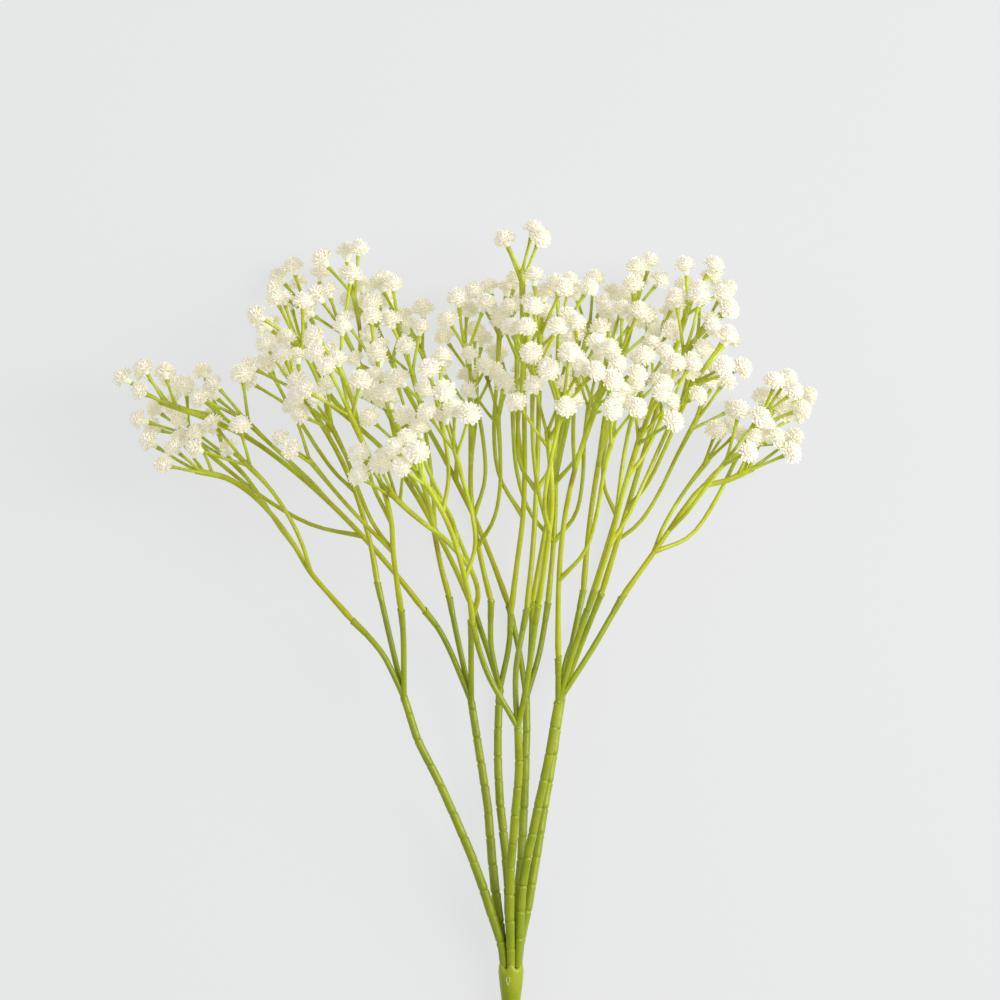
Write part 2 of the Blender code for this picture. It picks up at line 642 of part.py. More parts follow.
def main():
    for obj in list(bpy.data.objects):
        bpy.data.objects.remove(obj)
    green = plastic("green plastic", STEM_GREEN, STEM_ROUGHNESS)
    cream = plastic("cream petals", PETAL_CREAM, PETAL_ROUGHNESS)
    stems, prongs, sprigs = grow()
    rng = random.Random(SEED + 1)
    make_collar(green)
    for number, name in enumerate(STEMS, 1):
        own = [prongs[key] for key in SPRIGS if key[0] == name]
        make_stem("stem_%d" % number, stems[name], own, green)
    for number, name in enumerate(SPRIGS, 1):
        make_sprig("sprig_%02d" % number, sprigs[name], rng, cream)
    centre_on_origin()


main()
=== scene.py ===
# %% [markdown]
# This is an artificial gypsophila bush, the kind that fills gaps in a bouquet: seven ringed stems moulded
# into one collar, thin sprigs pushed into sleeves at their tips, and about three hundred pompon heads.
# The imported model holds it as 29 faceted solids: the collar, the stems with their prongs, and the sprigs.
# Giving those solids a material would be quicker, but their heads of six broad petals would look crude,
# so each solid is swapped for finer pieces that are grown from the same layout.

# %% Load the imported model
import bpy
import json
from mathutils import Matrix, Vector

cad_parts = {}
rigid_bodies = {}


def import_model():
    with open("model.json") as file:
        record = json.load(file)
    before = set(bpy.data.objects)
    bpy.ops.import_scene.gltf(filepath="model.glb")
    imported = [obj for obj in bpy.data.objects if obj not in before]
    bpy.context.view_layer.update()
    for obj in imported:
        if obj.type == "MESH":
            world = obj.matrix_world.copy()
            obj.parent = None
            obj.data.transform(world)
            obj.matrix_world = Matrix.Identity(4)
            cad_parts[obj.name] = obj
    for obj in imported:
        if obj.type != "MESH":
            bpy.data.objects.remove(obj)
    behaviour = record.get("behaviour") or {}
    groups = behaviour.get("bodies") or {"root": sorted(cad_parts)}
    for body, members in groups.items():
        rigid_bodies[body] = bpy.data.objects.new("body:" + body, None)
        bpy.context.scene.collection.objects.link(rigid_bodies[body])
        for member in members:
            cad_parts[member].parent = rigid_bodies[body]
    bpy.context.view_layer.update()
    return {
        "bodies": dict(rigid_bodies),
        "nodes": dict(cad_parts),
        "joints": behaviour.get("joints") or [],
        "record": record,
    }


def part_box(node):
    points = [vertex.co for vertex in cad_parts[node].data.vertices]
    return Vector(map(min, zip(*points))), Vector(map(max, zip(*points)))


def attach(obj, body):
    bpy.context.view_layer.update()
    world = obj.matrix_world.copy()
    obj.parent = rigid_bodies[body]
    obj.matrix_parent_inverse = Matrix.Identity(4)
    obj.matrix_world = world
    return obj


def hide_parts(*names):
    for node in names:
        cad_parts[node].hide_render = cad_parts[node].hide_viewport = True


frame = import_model()

# %% [markdown]
# Blender's own modules build the meshes, numpy does the sums on points, and random gives the same draw
# each time because it is seeded.

# %% Import the rest
import json
import math
import random
import bmesh
import bpy
import numpy as np
from mathutils import Matrix, Vector, noise

print("Blender", bpy.app.version_string)

# %% [markdown]
# The plant is laid out in millimetres as the photograph sees it: u to the right, v up along the stem,
# w towards the viewer. Real bushes are bent open by hand, so the bends are given as points.
# A formula could spread the stems evenly, but then the bush would lose the lean of this one.

# %% Routes of the seven stems, from the collar to the fork
STEMS = {
    "a": [(-3.25, 17, 1.9), (-7, 34, 3), (-18.5, 67, 6), (-31.5, 97, 9), (-41, 116, 11), (-48, 137, 12)],
    "b": [(-3.25, 17, -1.9), (-7.5, 54, -3.5), (-11, 90, -8), (-15, 115, -11), (-18, 134, -13)],
    "c": [(0, 17, 0), (-1.5, 54, -5.5), (-5, 90, -15), (-6, 115, -22), (-5, 139, -28)],
    "d": [(0, 17, 3.75), (-0.5, 54, 8), (2, 86, 15), (3.5, 106, 20), (3, 124, 25)],
    "e": [(0, 17, -3.75), (4, 54, -11), (6, 90, -18), (7, 115, -23), (7, 135, -26)],
    "f": [(3.25, 17, 1.9), (5, 50, 4), (10, 77, 8), (16, 106, 13), (21, 135, 18)],
    "g": [(3.25, 17, -1.9), (9, 50, -4), (13.5, 77, -8), (18.5, 106, -12), (23, 135, -16)],
}
print(len(STEMS), "stems")

# %% [markdown]
# A sprig is one moulding: an axis that plugs into a sleeve, side shoots that bow out of it, and an umbel
# of stalks at the end of each. Its row gives the bends of the prong that carries it, the bends of its axis,
# and its umbels: where on the axis the shoot leaves, the knot at its end, and how many heads it bears.

# %% The twenty-one sprigs
SPRIGS = {
    "a1": ([(-58, 157, 13), (-71, 171, 11)], [(-91, 194, 8), (-102, 212, 6), (-122, 232, 5)],
           [(1, -141, 238, 4, 5), (0.43, -130, 246, -13, 4), (0.35, -119, 242, 16, 4)]),
    "a2": ([(-54, 162, 8), (-60, 188, 5)], [(-64, 209, 5), (-72, 234, 6), (-85, 259, 8)],
           [(1, -98, 277, 10, 5), (0.7, -97, 298, -4, 5), (0.39, -102, 270, -16, 4)]),
    "a3": ([(-48, 162, 18), (-49, 176, 24)], [(-52, 198, 32), (-55, 225, 40)],
           [(1, -72, 265, 50, 5), (0.43, -76, 284, 36, 4),
            (0.35, -81, 260, 30, 4), (0.25, -90, 243, 22, 3)]),
    "b1": ([(-30, 162, -13), (-39, 175, -10)],
           [(-59, 200, -4), (-84, 226, 0), (-112, 249, 2), (-135, 261, 4)],
           [(1, -157, 269, 5, 5), (0.29, -148, 256, -12, 4),
            (0.72, -134, 266, -10, 4), (0.42, -120, 262, 14, 4)]),
    "b2": ([(-25, 166, -17), (-28, 181, -19)], [(-32, 196, -17), (-39, 230, -8), (-50, 256, 0)],
           [(1, -57, 270, 8, 5), (0.39, -62, 287, -12, 4), (0.28, -45, 284, -14, 4)]),
    "b3": ([(-18, 155, -8), (-18, 171, -2)], [(-15, 187, 6), (-27, 205, 18), (-43, 218, 32)],
           [(1, -53, 228, 44, 5), (0.43, -51, 251, 40, 4), (0.35, -45, 259, 24, 4)]),
    "c1": ([(-11, 158, -31), (-17, 175, -33)], [(-32, 207, -37), (-54, 243, -40), (-81, 270, -42)],
           [(1, -95, 295, -48, 4), (0.8, -95, 314, -50, 5),
            (0.75, -72, 320, -30, 4), (0.42, -78, 305, -22, 4)]),
    "c2": ([(-1, 158, -29), (0, 173, -28)], [(3, 198, -26), (6, 225, -24), (6, 270, -18)],
           [(1, 5, 328, -12, 4), (0.35, -5, 305, -26, 5), (0.42, 3, 295, -32, 4)]),
    "c3": ([(-9, 158, -25), (-9, 179, -22)], [(-14, 200, -20), (-18, 225, -17), (-18, 252, -14)],
           [(1, -18, 268, -12, 5), (0.7, -16, 283, -28, 4),
            (0.32, -6, 264, 2, 4), (0.42, -21, 296, -16, 4)]),
    "d1": ([(-11, 149, 28), (-17, 170, 34)], [(-19, 184, 40), (-25, 207, 48), (-32, 223, 54)],
           [(1, -41, 237, 60, 5), (0.7, -32, 264, 52, 4), (0.35, -25, 248, 58, 4)]),
    "d2": ([(7, 144, 30), (12, 179, 36)], [(15, 198, 42), (18, 225, 48)],
           [(1, 16, 255, 50, 5), (0.42, 23, 269, 60, 5), (0.42, 10, 283, 34, 4)]),
    "d3": ([(2, 148, 24), (7, 176, 22)], [(10, 207, 18), (12, 248, 12)],
           [(1, 13, 300, 10, 5), (0.42, 6, 292, 0, 4), (0.39, 22, 303, -4, 4)]),
    "e1": ([(9, 155, -29), (10, 178, -29)], [(15, 207, -33), (24, 252, -34)],
           [(1, 36, 305, -34, 5), (0.42, 45, 295, -22, 4), (0.28, 30, 285, -42, 4)]),
    "e2": ([(4, 155, -30), (-1, 177, -33)], [(-14, 211, -38), (-32, 247, -43), (-50, 279, -44)],
           [(1, -63, 307, -42, 5), (0.8, -51, 306, -28, 4), (0.45, -41, 294, -36, 4)]),
    "e3": ([(13, 155, -31), (17, 178, -34)], [(20, 212, -38), (21, 248, -43)],
           [(1, 22, 275, -46, 5), (0.35, 1, 277, -44, 4), (0.35, 36, 269, -46, 4)]),
    "f1": ([(21, 155, 24)], [(21, 184, 28), (23, 212, 36), (28, 238, 44)],
           [(1, 39, 271, 46, 5), (0.35, 45, 254, 52, 4), (0.7, 30, 282, 26, 4)]),
    "f2": ([(28, 158, 21), (37, 184, 23)], [(44, 206, 28), (50, 230, 34)],
           [(1, 58, 256, 40, 5), (0.7, 69, 266, 30, 4), (0.42, 58, 274, 20, 4), (0.24, 78, 272, 6, 4)]),
    "f3": ([(36, 158, 16), (50, 182, 12)], [(65, 203, 10), (84, 229, 8), (95, 233, 8)],
           [(1, 108, 239, 8, 5), (0.72, 112, 254, -8, 5), (0.39, 98, 245, 20, 4),
            (0.24, 115, 265, 2, 5), (0.3, 89, 243, -8, 3)]),
    "g1": ([(27, 156, -19), (33, 184, -25)], [(36, 216, -26), (42, 252, -26)],
           [(1, 57, 314, -28, 5), (0.7, 63, 293, -14, 5), (0.42, 49, 292, -4, 4)]),
    "g2": ([(30, 155, -14), (41, 183, -10)], [(51, 216, -10), (63, 256, -12)],
           [(1, 81, 314, -22, 5), (0.75, 86, 302, -8, 4), (0.7, 79, 294, 4, 4), (0.35, 84, 281, 14, 4)]),
    "g3": ([(25, 152, -25), (35, 175, -33)], [(45, 207, -38), (56, 243, -42)],
           [(1, 67, 275, -46, 5), (0.39, 50, 274, -48, 4), (0.35, 85, 262, -38, 4)]),
}
print(len(SPRIGS), "sprigs with", sum(u[4] for s in SPRIGS.values() for u in s[2]), "heads")

# %% [markdown]
# Moulded stalks have no corners, so each route becomes a smooth curve through its points. A Bezier would
# need handles; a Catmull-Rom curve finds its own direction at every point, and here its points are then
# spread evenly, because evenly spaced rings make an even skin.

# %% Smooth curves through a few points
CURVE_STEPS = 12


def unit(v):
    """The same way, one millimetre long."""
    return v / np.linalg.norm(v)


def smooth(points, count):
    """Evenly spaced points along a Catmull-Rom curve through the given ones."""
    p = [np.array(q, float) for q in points]
    p = [2 * p[0] - p[1], *p, 2 * p[-1] - p[-2]]
    fine = []
    for a, b, c, d in zip(p, p[1:], p[2:], p[3:]):
        bend, twist = 2 * a - 5 * b + 4 * c - d, 3 * b - a - 3 * c + d
        for t in np.linspace(0, 1, CURVE_STEPS, endpoint=False):
            fine.append(0.5 * (2 * b + (c - a) * t + bend * t**2 + twist * t**3))
    fine = np.array([*fine, p[-2]])
    along = lengths_along(fine)
    at = np.linspace(0, along[-1], count)
    return np.stack([np.interp(at, along, fine[:, k]) for k in range(3)], axis=1)


def lengths_along(line):
    """How far along a line each of its points lies."""
    return np.concatenate([[0], np.cumsum(np.linalg.norm(np.diff(line, axis=0), axis=1))])


def back_along(line, distance):
    """The point that lies this far back from the end of a line."""
    for p, q in zip(line[::-1], line[-2::-1]):
        span = float(np.linalg.norm(q - p))
        if distance <= span:
            return p + (q - p) * distance / span
        distance -= span
    return line[0]


print("stem a is", round(lengths_along(smooth(STEMS["a"], 40))[-1]), "mm long")

# %% [markdown]
# Real heads push each other aside. Here every rod and ball that is already placed takes its room, and a new
# one is drawn again until it is clear of the others. The distance between two straight rods has a formula,
# which is quicker and steadier than testing meshes against each other.

# %% Keep the pieces out of each other's way
UNBOUNDED = 99.0
NEARLY_ZERO = 1e-9


def segment_distance(p, q, a, b):
    """The distance from the segment p-q to each of the segments a-b."""
    d1, d2, r = q - p, b - a, p - a
    aa, ee = d1 @ d1 + NEARLY_ZERO, (d2 * d2).sum(1) + NEARLY_ZERO
    f, c, bb = (d2 * r).sum(1), r @ d1, d2 @ d1
    s = np.clip((bb * f - c * ee) / np.maximum(aa * ee - bb * bb, NEARLY_ZERO), 0, 1)
    t = np.clip((bb * s + f) / ee, 0, 1)
    s = np.clip((bb * t - c) / aa, 0, 1)
    return np.linalg.norm(p + s[:, None] * d1 - a - t[:, None] * d2, axis=1)


class Room:
    """The rounded rods and balls that the plant already fills, so one piece stays clear of the next."""

    def __init__(self):
        self.a, self.b, self.r, self.piece = [], [], [], []

    def add(self, piece, line, r):
        """Fill the room that a line of radius r takes."""
        for p, q in zip(line[:-1], line[1:]):
            self.a.append(p)
            self.b.append(q)
            self.r.append(r)
            self.piece.append(piece)

    def gap(self, piece, line, r):
        """The least gap between a line of radius r and whatever belongs to other pieces."""
        others = np.array([n != piece for n in self.piece])
        if not others.any():
            return UNBOUNDED
        a, b, radius = (np.array(values)[others] for values in (self.a, self.b, self.r))
        pairs = zip(line[:-1], line[1:])
        return min(float((segment_distance(p, q, a, b) - radius).min()) - r for p, q in pairs)


lower, upper = np.array([[-5.0, 0, 0], [5, 0, 0]]), np.array([[0, -5.0, 3], [0, 5, 3]])
print("two rods that cross 3 mm apart:", segment_distance(*lower, upper[:1], upper[1:])[0].round(2), "mm")

# %% [markdown]
# The bush can't stand on its stub, so it lies on its back, tilted a little, and rests on the stub and on its
# lowest heads. One function takes a point of the plant to where it lies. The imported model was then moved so
# that the origin is under its middle, and the collar's own box tells by how much.

# %% Lay the plant down
TILT_DEG = 9.0
STUB_LENGTH = 30.0
STUB_R = 3.8
DOT = 0.01
MM = 0.001


def lie_down(p):
    """Take a point (u, v, w) of the plant to where it lies, with the floor at height zero."""
    t = math.radians(TILT_DEG)
    up = p[1] + STUB_LENGTH
    along = up * math.cos(t) - p[2] * math.sin(t)
    return np.array([p[0], along, (p[2] + STUB_R) * math.cos(t) + up * math.sin(t)])


def depth_at(v, height):
    """The w at which a point at v along the stem lies that high above the floor."""
    t = math.radians(TILT_DEG)
    return (height - (v + STUB_LENGTH) * math.sin(t)) / math.cos(t) - STUB_R


def dot_at(p):
    """A line so short that it stands for a point."""
    return np.array([p, p + DOT])


collar_low, collar_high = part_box("collar")
to_row = Vector(((collar_low.x + collar_high.x) / 2, collar_low.y, 0))
to_row.y += STUB_R * MM * math.sin(math.radians(TILT_DEG))


def metres(p):
    """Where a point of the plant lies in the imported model, in metres."""
    return Vector(lie_down(p) * MM) + to_row


print("collar's middle at", [round(c, 4) for c in metres((0, 8, 0))])

# %% [markdown]
# A side shoot leaves its axis at a slant, bows outwards and then turns up, as soft plastic does when it is
# pulled from a flat mould and fluffed. A cubic curve with two handles gives just that bow.

# %% Side shoots
SHOOT_R = 0.78
NODE_GAP = 0.6
SHOOT_FLOOR = 1.2
FAN_POINT = (0.0, 130.0, 0.0)
SHOOT_RISE = 0.75
SHOOT_HANDLE = 0.36
SHOOT_LATE_BOW = 0.6
LONG_SHOOT_BELOW = 0.6
SHOOT_POINTS, LONG_SHOOT_POINTS = 4, 5
WANDER = 2
WANDER_STEP = 0.1
SHOOT_TRIES = 160


def side_shoot(axis, fraction, knot, aim, rng, wander):
    """A shoot that leaves the axis sideways, bows out and turns up into its umbel."""
    i = min(len(axis) - 2, max(1, round(fraction * (len(axis) - 1))))
    start, along = axis[i], unit(axis[i + 1] - axis[i - 1])
    reach = np.linalg.norm(knot - start)
    across = knot - start - along * np.dot(knot - start, along)
    bow = np.array([rng.uniform(-1, 1) * 0.5, rng.uniform(-1, 1) * 0.5, rng.uniform(-1, 1)]) * wander
    b = start + unit(SHOOT_RISE * along + unit(across)) * reach * SHOOT_HANDLE + bow
    c = knot - aim * reach * SHOOT_HANDLE + bow * SHOOT_LATE_BOW
    count = LONG_SHOOT_POINTS if fraction < LONG_SHOOT_BELOW else SHOOT_POINTS
    t = np.linspace(0, 1, count)[:, None]
    return (1 - t) ** 3 * start + 3 * (1 - t) ** 2 * t * b + 3 * (1 - t) * t**2 * c + t**3 * knot


def free_shoot(name, axis, fraction, knot, room, rng):
    """The first side shoot that keeps clear of the other pieces and the floor, or the least bad one."""
    best = None
    for attempt in range(SHOOT_TRIES):
        shoot = side_shoot(axis, fraction, knot, unit(knot - FAN_POINT), rng, WANDER + attempt * WANDER_STEP)
        above = min(p[2] - depth_at(p[1], SHOOT_FLOOR) for p in shoot)
        score = min(room.gap(name, shoot, SHOOT_R) - NODE_GAP, above)
        if best is None or score > best[0]:
            best = (score, shoot)
        if score > 0:
            break
    return best[1]


print("a shoot is tried", SHOOT_TRIES, "times at most")

# %% [markdown]
# The stalks of an umbel fan out by the golden angle, which spreads any number of them evenly, and leave the
# shoot one above the other. Heads near the floor settle on it, where their own weight presses them flat.

# %% Umbels of stalks, each with a head
PEDICEL_TIP_R = 1.15
PEDICEL_SHORT = 13.0
PEDICEL_LONG = 22.0
PEDICEL_STEP = 1.8
SPREAD_DEG = 40.0
WIDEST_DEG = 75.0
GOLDEN_ANGLE = 2.39996
HEAD_R = 4.5
HEAD_MIDDLE = 4.6
HEAD_SPACE_R = HEAD_R + 0.1
HEAD_APART = 8.6
FLAT_DEPTH = 1.4
SETTLE = 6.0
TIP_FLOOR = 1.6
HEAD_TRIES = 260
LOOSEN_OVER = 120


def settled(knot, tip, way):
    """Where a head comes to lie: one that hangs near the floor drops until it is pressed flat on it."""
    middle = tip + way * HEAD_MIDDLE
    floor = depth_at(middle[1], HEAD_R - FLAT_DEPTH)
    if middle[2] < floor + SETTLE:
        middle = np.array([middle[0], middle[1], floor])
        way = unit(middle - knot)
        tip = middle - way * HEAD_MIDDLE
    return tip, way, middle


def umbel(piece, line, aim, count, room, taken, rng):
    """Pedicels that fan out from the end of a line, each drawn again until its head has room."""
    side = unit(np.cross(aim, [0.3, 0.2, 1.0]))
    other = np.cross(aim, side)
    turn = rng.uniform(0, 2 * math.pi)
    made = []
    for i in range(count):
        knot = back_along(line, i * PEDICEL_STEP)
        best = None
        for attempt in range(HEAD_TRIES):
            loose = 1 + attempt / LOOSEN_OVER
            polar = math.radians(SPREAD_DEG) * math.sqrt((i + 0.5) / count) * loose * rng.uniform(0.8, 1.15)
            polar = min(polar, math.radians(WIDEST_DEG))
            around = turn + i * GOLDEN_ANGLE + rng.uniform(-0.5, 0.5) * loose
            outward = side * math.cos(around) + other * math.sin(around)
            way = aim * math.cos(polar) + outward * math.sin(polar)
            tip, way, middle = settled(knot, knot + way * rng.uniform(PEDICEL_SHORT, PEDICEL_LONG), way)
            if tip[2] < depth_at(tip[1], TIP_FLOOR):
                continue
            stalk = room.gap(piece, np.array([knot, tip]), PEDICEL_TIP_R)
            free = min(room.gap(piece, dot_at(middle), HEAD_SPACE_R), stalk)
            apart = min([np.linalg.norm(middle - h) for h in taken] + [UNBOUNDED]) - HEAD_APART
            score = min(free - NODE_GAP, apart)
            if best is None or score > best[0]:
                best = (score, tip, way, middle)
            if score > 0:
                break
        score, tip, way, middle = best
        taken.append(middle)
        room.add(piece, np.array([knot, tip]), PEDICEL_TIP_R)
        room.add(piece, dot_at(middle), HEAD_SPACE_R)
        made.append((knot, tip, way))
    return made


print("an umbel opens to", SPREAD_DEG, "degrees, or", WIDEST_DEG, "where it is crowded")

# %% [markdown]
# Now the whole plant is laid out in the same order as in the solids, with the same seed, so that every stalk
# and head comes out where the solid has it.

# %% Grow the layout
SEED = 231
STEM_POINTS = 24
STEM_STRAIGHT = 3.0
STEM_WIDE_R = 2.0
PRONG_POINTS = 5
SLEEVE_RIM_R = 1.5
SEAT_GAP = 0.3
AXIS_POINTS = 8
AXIS_FOOT_R = 1.0


def grow():
    """Lay the whole plant out: stems, prongs, axes, then shoots and heads where there is room."""
    rng = random.Random(SEED)
    room = Room()
    stems, prongs, sprigs = {}, {}, {}
    for name, route in STEMS.items():
        foot = route[0]
        stems[name] = smooth([foot, (foot[0], foot[1] + STEM_STRAIGHT, foot[2]), *route[1:]], STEM_POINTS)
        room.add("stem " + name, stems[name][1:], STEM_WIDE_R)
    for name, (prong, rise, umbels) in SPRIGS.items():
        prongs[name] = smooth([STEMS[name[0]][-1], *prong], PRONG_POINTS)
        room.add("stem " + name[0], prongs[name], SLEEVE_RIM_R)
    for name, (prong, rise, umbels) in SPRIGS.items():
        sleeve = np.array(prong[-1], float)
        foot = sleeve + unit(np.array(rise[0]) - sleeve) * SEAT_GAP
        axis = smooth([foot, *rise, umbels[0][1:4]], AXIS_POINTS)
        sprigs[name] = {"axis": axis, "shoots": [], "heads": []}
        room.add(name, axis[1:], AXIS_FOOT_R)
    for name, (prong, rise, umbels) in SPRIGS.items():
        for fraction, u, v, w, count in umbels[1:]:
            shoot = free_shoot(name, sprigs[name]["axis"], fraction, np.array([u, v, w], float), room, rng)
            room.add(name, shoot, SHOOT_R)
            sprigs[name]["shoots"].append(shoot)
    for name, (prong, rise, umbels) in SPRIGS.items():
        taken = []
        lines = [sprigs[name]["axis"], *sprigs[name]["shoots"]]
        for line, (fraction, u, v, w, count) in zip(lines, umbels):
            aim = unit(np.array([u, v, w]) - FAN_POINT)
            sprigs[name]["heads"] += umbel(name, line, aim, count, room, taken, rng)
    return stems, prongs, sprigs


stems, prongs, sprigs = grow()
heads_grown = sum(len(sprig["heads"]) for sprig in sprigs.values())
print("grown:", len(stems), "stems,", len(prongs), "prongs,", heads_grown, "heads")

# %% [markdown]
# Soft moulded plastic is never one flat colour: the melt flows in faint streaks, and a hot mould leaves a
# rust mark here and there. A Tint input adds painted shade by pulling the colour towards the deep colour. All
# the finishes share those effects, so they are one shader group with a few inputs. A painted texture could
# show the same, but it would need unwrapping.

# %% A shader group for moulded plastic
def group_socket(group, label, kind, value=None):
    """Give a shader group an input with this value, or an output where there is none."""
    side = "OUTPUT" if value is None else "INPUT"
    socket = group.interface.new_socket(label, in_out=side, socket_type="NodeSocket" + kind)
    if value is not None:
        socket.default_value = value


def add_node(tree, kind, settings=None, **plugs):
    """Add a node and plug values or other nodes' outputs into its inputs, named in lower case."""
    node = tree.nodes.new("ShaderNode" + kind)
    for name, value in (settings or {}).items():
        setattr(node, name, value)
    for name, value in plugs.items():
        socket = next(s for s in node.inputs if s.enabled and s.name.lower().replace(" ", "_") == name)
        if isinstance(value, bpy.types.NodeSocket):
            tree.links.new(value, socket)
        else:
            socket.default_value = value
    return node


def stretch(tree, value, low, high, to_low, to_high):
    """Map a grey value from one range to another."""
    ends = {"from_min": low, "from_max": high, "to_min": to_low, "to_max": to_high}
    return add_node(tree, "MapRange", None, value=value, **ends).outputs[0]


def blend(tree, factor, a, b):
    """Mix two colours."""
    return add_node(tree, "Mix", {"data_type": "RGBA"}, factor=factor, a=a, b=b).outputs[2]


def calculate(tree, operation, a, b, clamp=False):
    """Add or multiply two grey values."""
    node = add_node(tree, "Math", {"operation": operation, "use_clamp": clamp}, value=a)
    tree.links.new(b, node.inputs[1])
    return node.outputs[0]


SKIN_COLOURS = {
    "Colour": (0.5, 0.5, 0.5, 1), "Deep Colour": (0.3, 0.3, 0.3, 1), "Rust": (0.2, 0.07, 0.01, 1),
}
SKIN_VALUES = {"Tint": 0.0, "Mottle": 0.5, "Rust Amount": 0.0, "Gloss Low": 0.3, "Gloss High": 0.5}
SKIN_GIVES = {"Colour": "Color", "Roughness": "Float", "Normal": "Vector"}

skin = bpy.data.node_groups.new("moulded plastic skin", "ShaderNodeTree")
for label, value in SKIN_COLOURS.items():
    group_socket(skin, label, "Color", value)
for label, value in SKIN_VALUES.items():
    group_socket(skin, label, "Float", value)
for label, kind in SKIN_GIVES.items():
    group_socket(skin, label, kind)

takes = skin.nodes.new("NodeGroupInput").outputs
place = add_node(skin, "TexCoord").outputs["Object"]
along = add_node(skin, "Mapping", None, vector=place, scale=(1.0, 0.16, 1.0)).outputs[0]
clouds = add_node(skin, "TexNoise", None, vector=place, scale=85.0, detail=3.0).outputs[0]
streaks = add_node(skin, "TexNoise", None, vector=along, scale=1100.0, detail=2.0).outputs[0]
grit = add_node(skin, "TexNoise", None, vector=place, scale=2600.0, detail=2.0).outputs[0]
hot = add_node(skin, "TexNoise", None, vector=place, scale=38.0, detail=1.0).outputs[0]
patches = stretch(skin, clouds, 0.38, 0.68, 0.0, 1.0)
flow = stretch(skin, streaks, 0.35, 0.7, -0.25, 0.35)
depth = calculate(skin, "MULTIPLY", calculate(skin, "ADD", patches, flow), takes["Mottle"], clamp=True)
mottled = blend(skin, depth, takes["Colour"], takes["Deep Colour"])
# Painted shade: the Tint input pulls the mottled colour towards the deep colour.
deepened = blend(skin, takes["Tint"], mottled, takes["Deep Colour"])
burnt = calculate(skin, "MULTIPLY", stretch(skin, hot, 0.70, 0.78, 0.0, 1.0), takes["Rust Amount"])
gives = skin.nodes.new("NodeGroupOutput").inputs
skin.links.new(blend(skin, burnt, deepened, takes["Rust"]), gives["Colour"])
gloss = add_node(skin, "MapRange", None, value=streaks, from_min=0.3, from_max=0.7)
skin.links.new(takes["Gloss Low"], gloss.inputs["To Min"])
skin.links.new(takes["Gloss High"], gloss.inputs["To Max"])
skin.links.new(gloss.outputs[0], gives["Roughness"])
relief = add_node(skin, "Bump", None, strength=0.35, distance=0.00012, height=streaks).outputs[0]
fine_relief = add_node(skin, "Bump", None, strength=0.25, distance=0.00006, height=grit, normal=relief)
skin.links.new(fine_relief.outputs[0], gives["Normal"])
print("skin group:", len(skin.nodes), "nodes")

# %% [markdown]
# The greens differ: the thick ringed stems are a deeper leaf green, and the thin sprigs are lighter, from
# spring green to olive. The petals are an ivory, whitest at the tips, with painted shade that makes them
# creamier at the heart, over a greenish white cup. A little subsurface light stands for the milkiness of the
# plastic, which a plain diffuse colour would miss, and a faint glow is painted light that stands for the
# light coming through the petals and lifts their shaded sides. The tint is painted shade on the mesh: at the
# foot of stems and sprigs, in the grooves, inside the sleeves, where stalks meet, under the heads and where
# petals meet.

# %% The finishes
SHEEN = 0.5
SHEEN_TINT = (1.0, 1.0, 0.72, 1)
PLASTIC_IOR = 1.49
CUP_WHITE = (0.88, 0.89, 0.74, 1)
# Painted light: a faint cream glow on the petals that lifts their shaded sides.
PETAL_PAINTED_LIGHT = (1.0, 0.93, 0.74, 1)
PETAL_PAINTED_LIGHT_STRENGTH = 0.12


def finish(name, colour, deep, gloss, mottle=0.5, rust=0.0, soft=0.15, hue=(1.0, 0.9, 0.3), reach=0.0012):
    """A moulded plastic: its colours, gloss and marks, and how softly light of a hue goes into it."""
    material = bpy.data.materials.new(name)
    material.use_nodes = True
    tree = material.node_tree
    shader = tree.nodes["Principled BSDF"]
    shader.inputs["Subsurface Weight"].default_value = soft
    shader.inputs["Subsurface Radius"].default_value = hue
    shader.inputs["Subsurface Scale"].default_value = reach
    shader.inputs["IOR"].default_value = PLASTIC_IOR
    shader.inputs["Specular IOR Level"].default_value = SHEEN
    shader.inputs["Specular Tint"].default_value = SHEEN_TINT
    # The mesh's tint attribute is painted shade; the group mixes it in through its Tint input.
    tint = add_node(tree, "Attribute", {"attribute_name": "tint"}).outputs["Fac"]
    look = add_node(
        tree, "Group", {"node_tree": skin}, colour=colour, deep_colour=deep, tint=tint, mottle=mottle,
        rust_amount=rust, gloss_low=gloss[0], gloss_high=gloss[1],
    )
    tree.links.new(look.outputs["Colour"], shader.inputs["Base Color"])
    tree.links.new(look.outputs["Roughness"], shader.inputs["Roughness"])
    tree.links.new(look.outputs["Normal"], shader.inputs["Normal"])
    return material


leaf_green = finish(
    "leaf green stems", (0.345, 0.405, 0.014, 1), (0.190, 0.245, 0.001, 1), gloss=(0.3, 0.44), rust=0.1
)
spring_green = finish(
    "spring green sprigs", (0.575, 0.680, 0.055, 1), (0.430, 0.435, 0.001, 1), gloss=(0.3, 0.46),
    mottle=0.9, rust=0.6, soft=0.2,
)
ivory = finish(
    "ivory petals", (0.910, 0.875, 0.775, 1), (0.800, 0.745, 0.540, 1), gloss=(0.5, 0.62),
    mottle=0.12, soft=0.3, hue=(1.0, 0.9, 0.7), reach=0.001,
)
# Pale flash: the whiskers' own colour, and a painted highlight along the rim of the collar's mark.
flash_and_highlight_pale = finish(
    "pale flash and painted highlight", (0.80, 0.84, 0.45, 1), (0.66, 0.72, 0.25, 1), gloss=(0.2, 0.35), mottle=0.3, soft=0.5
)

tree = ivory.node_tree
shader = tree.nodes["Principled BSDF"]
petal_colour = shader.inputs["Base Color"].links[0].from_socket
cup = add_node(tree, "Attribute", {"attribute_name": "cup"}).outputs["Fac"]
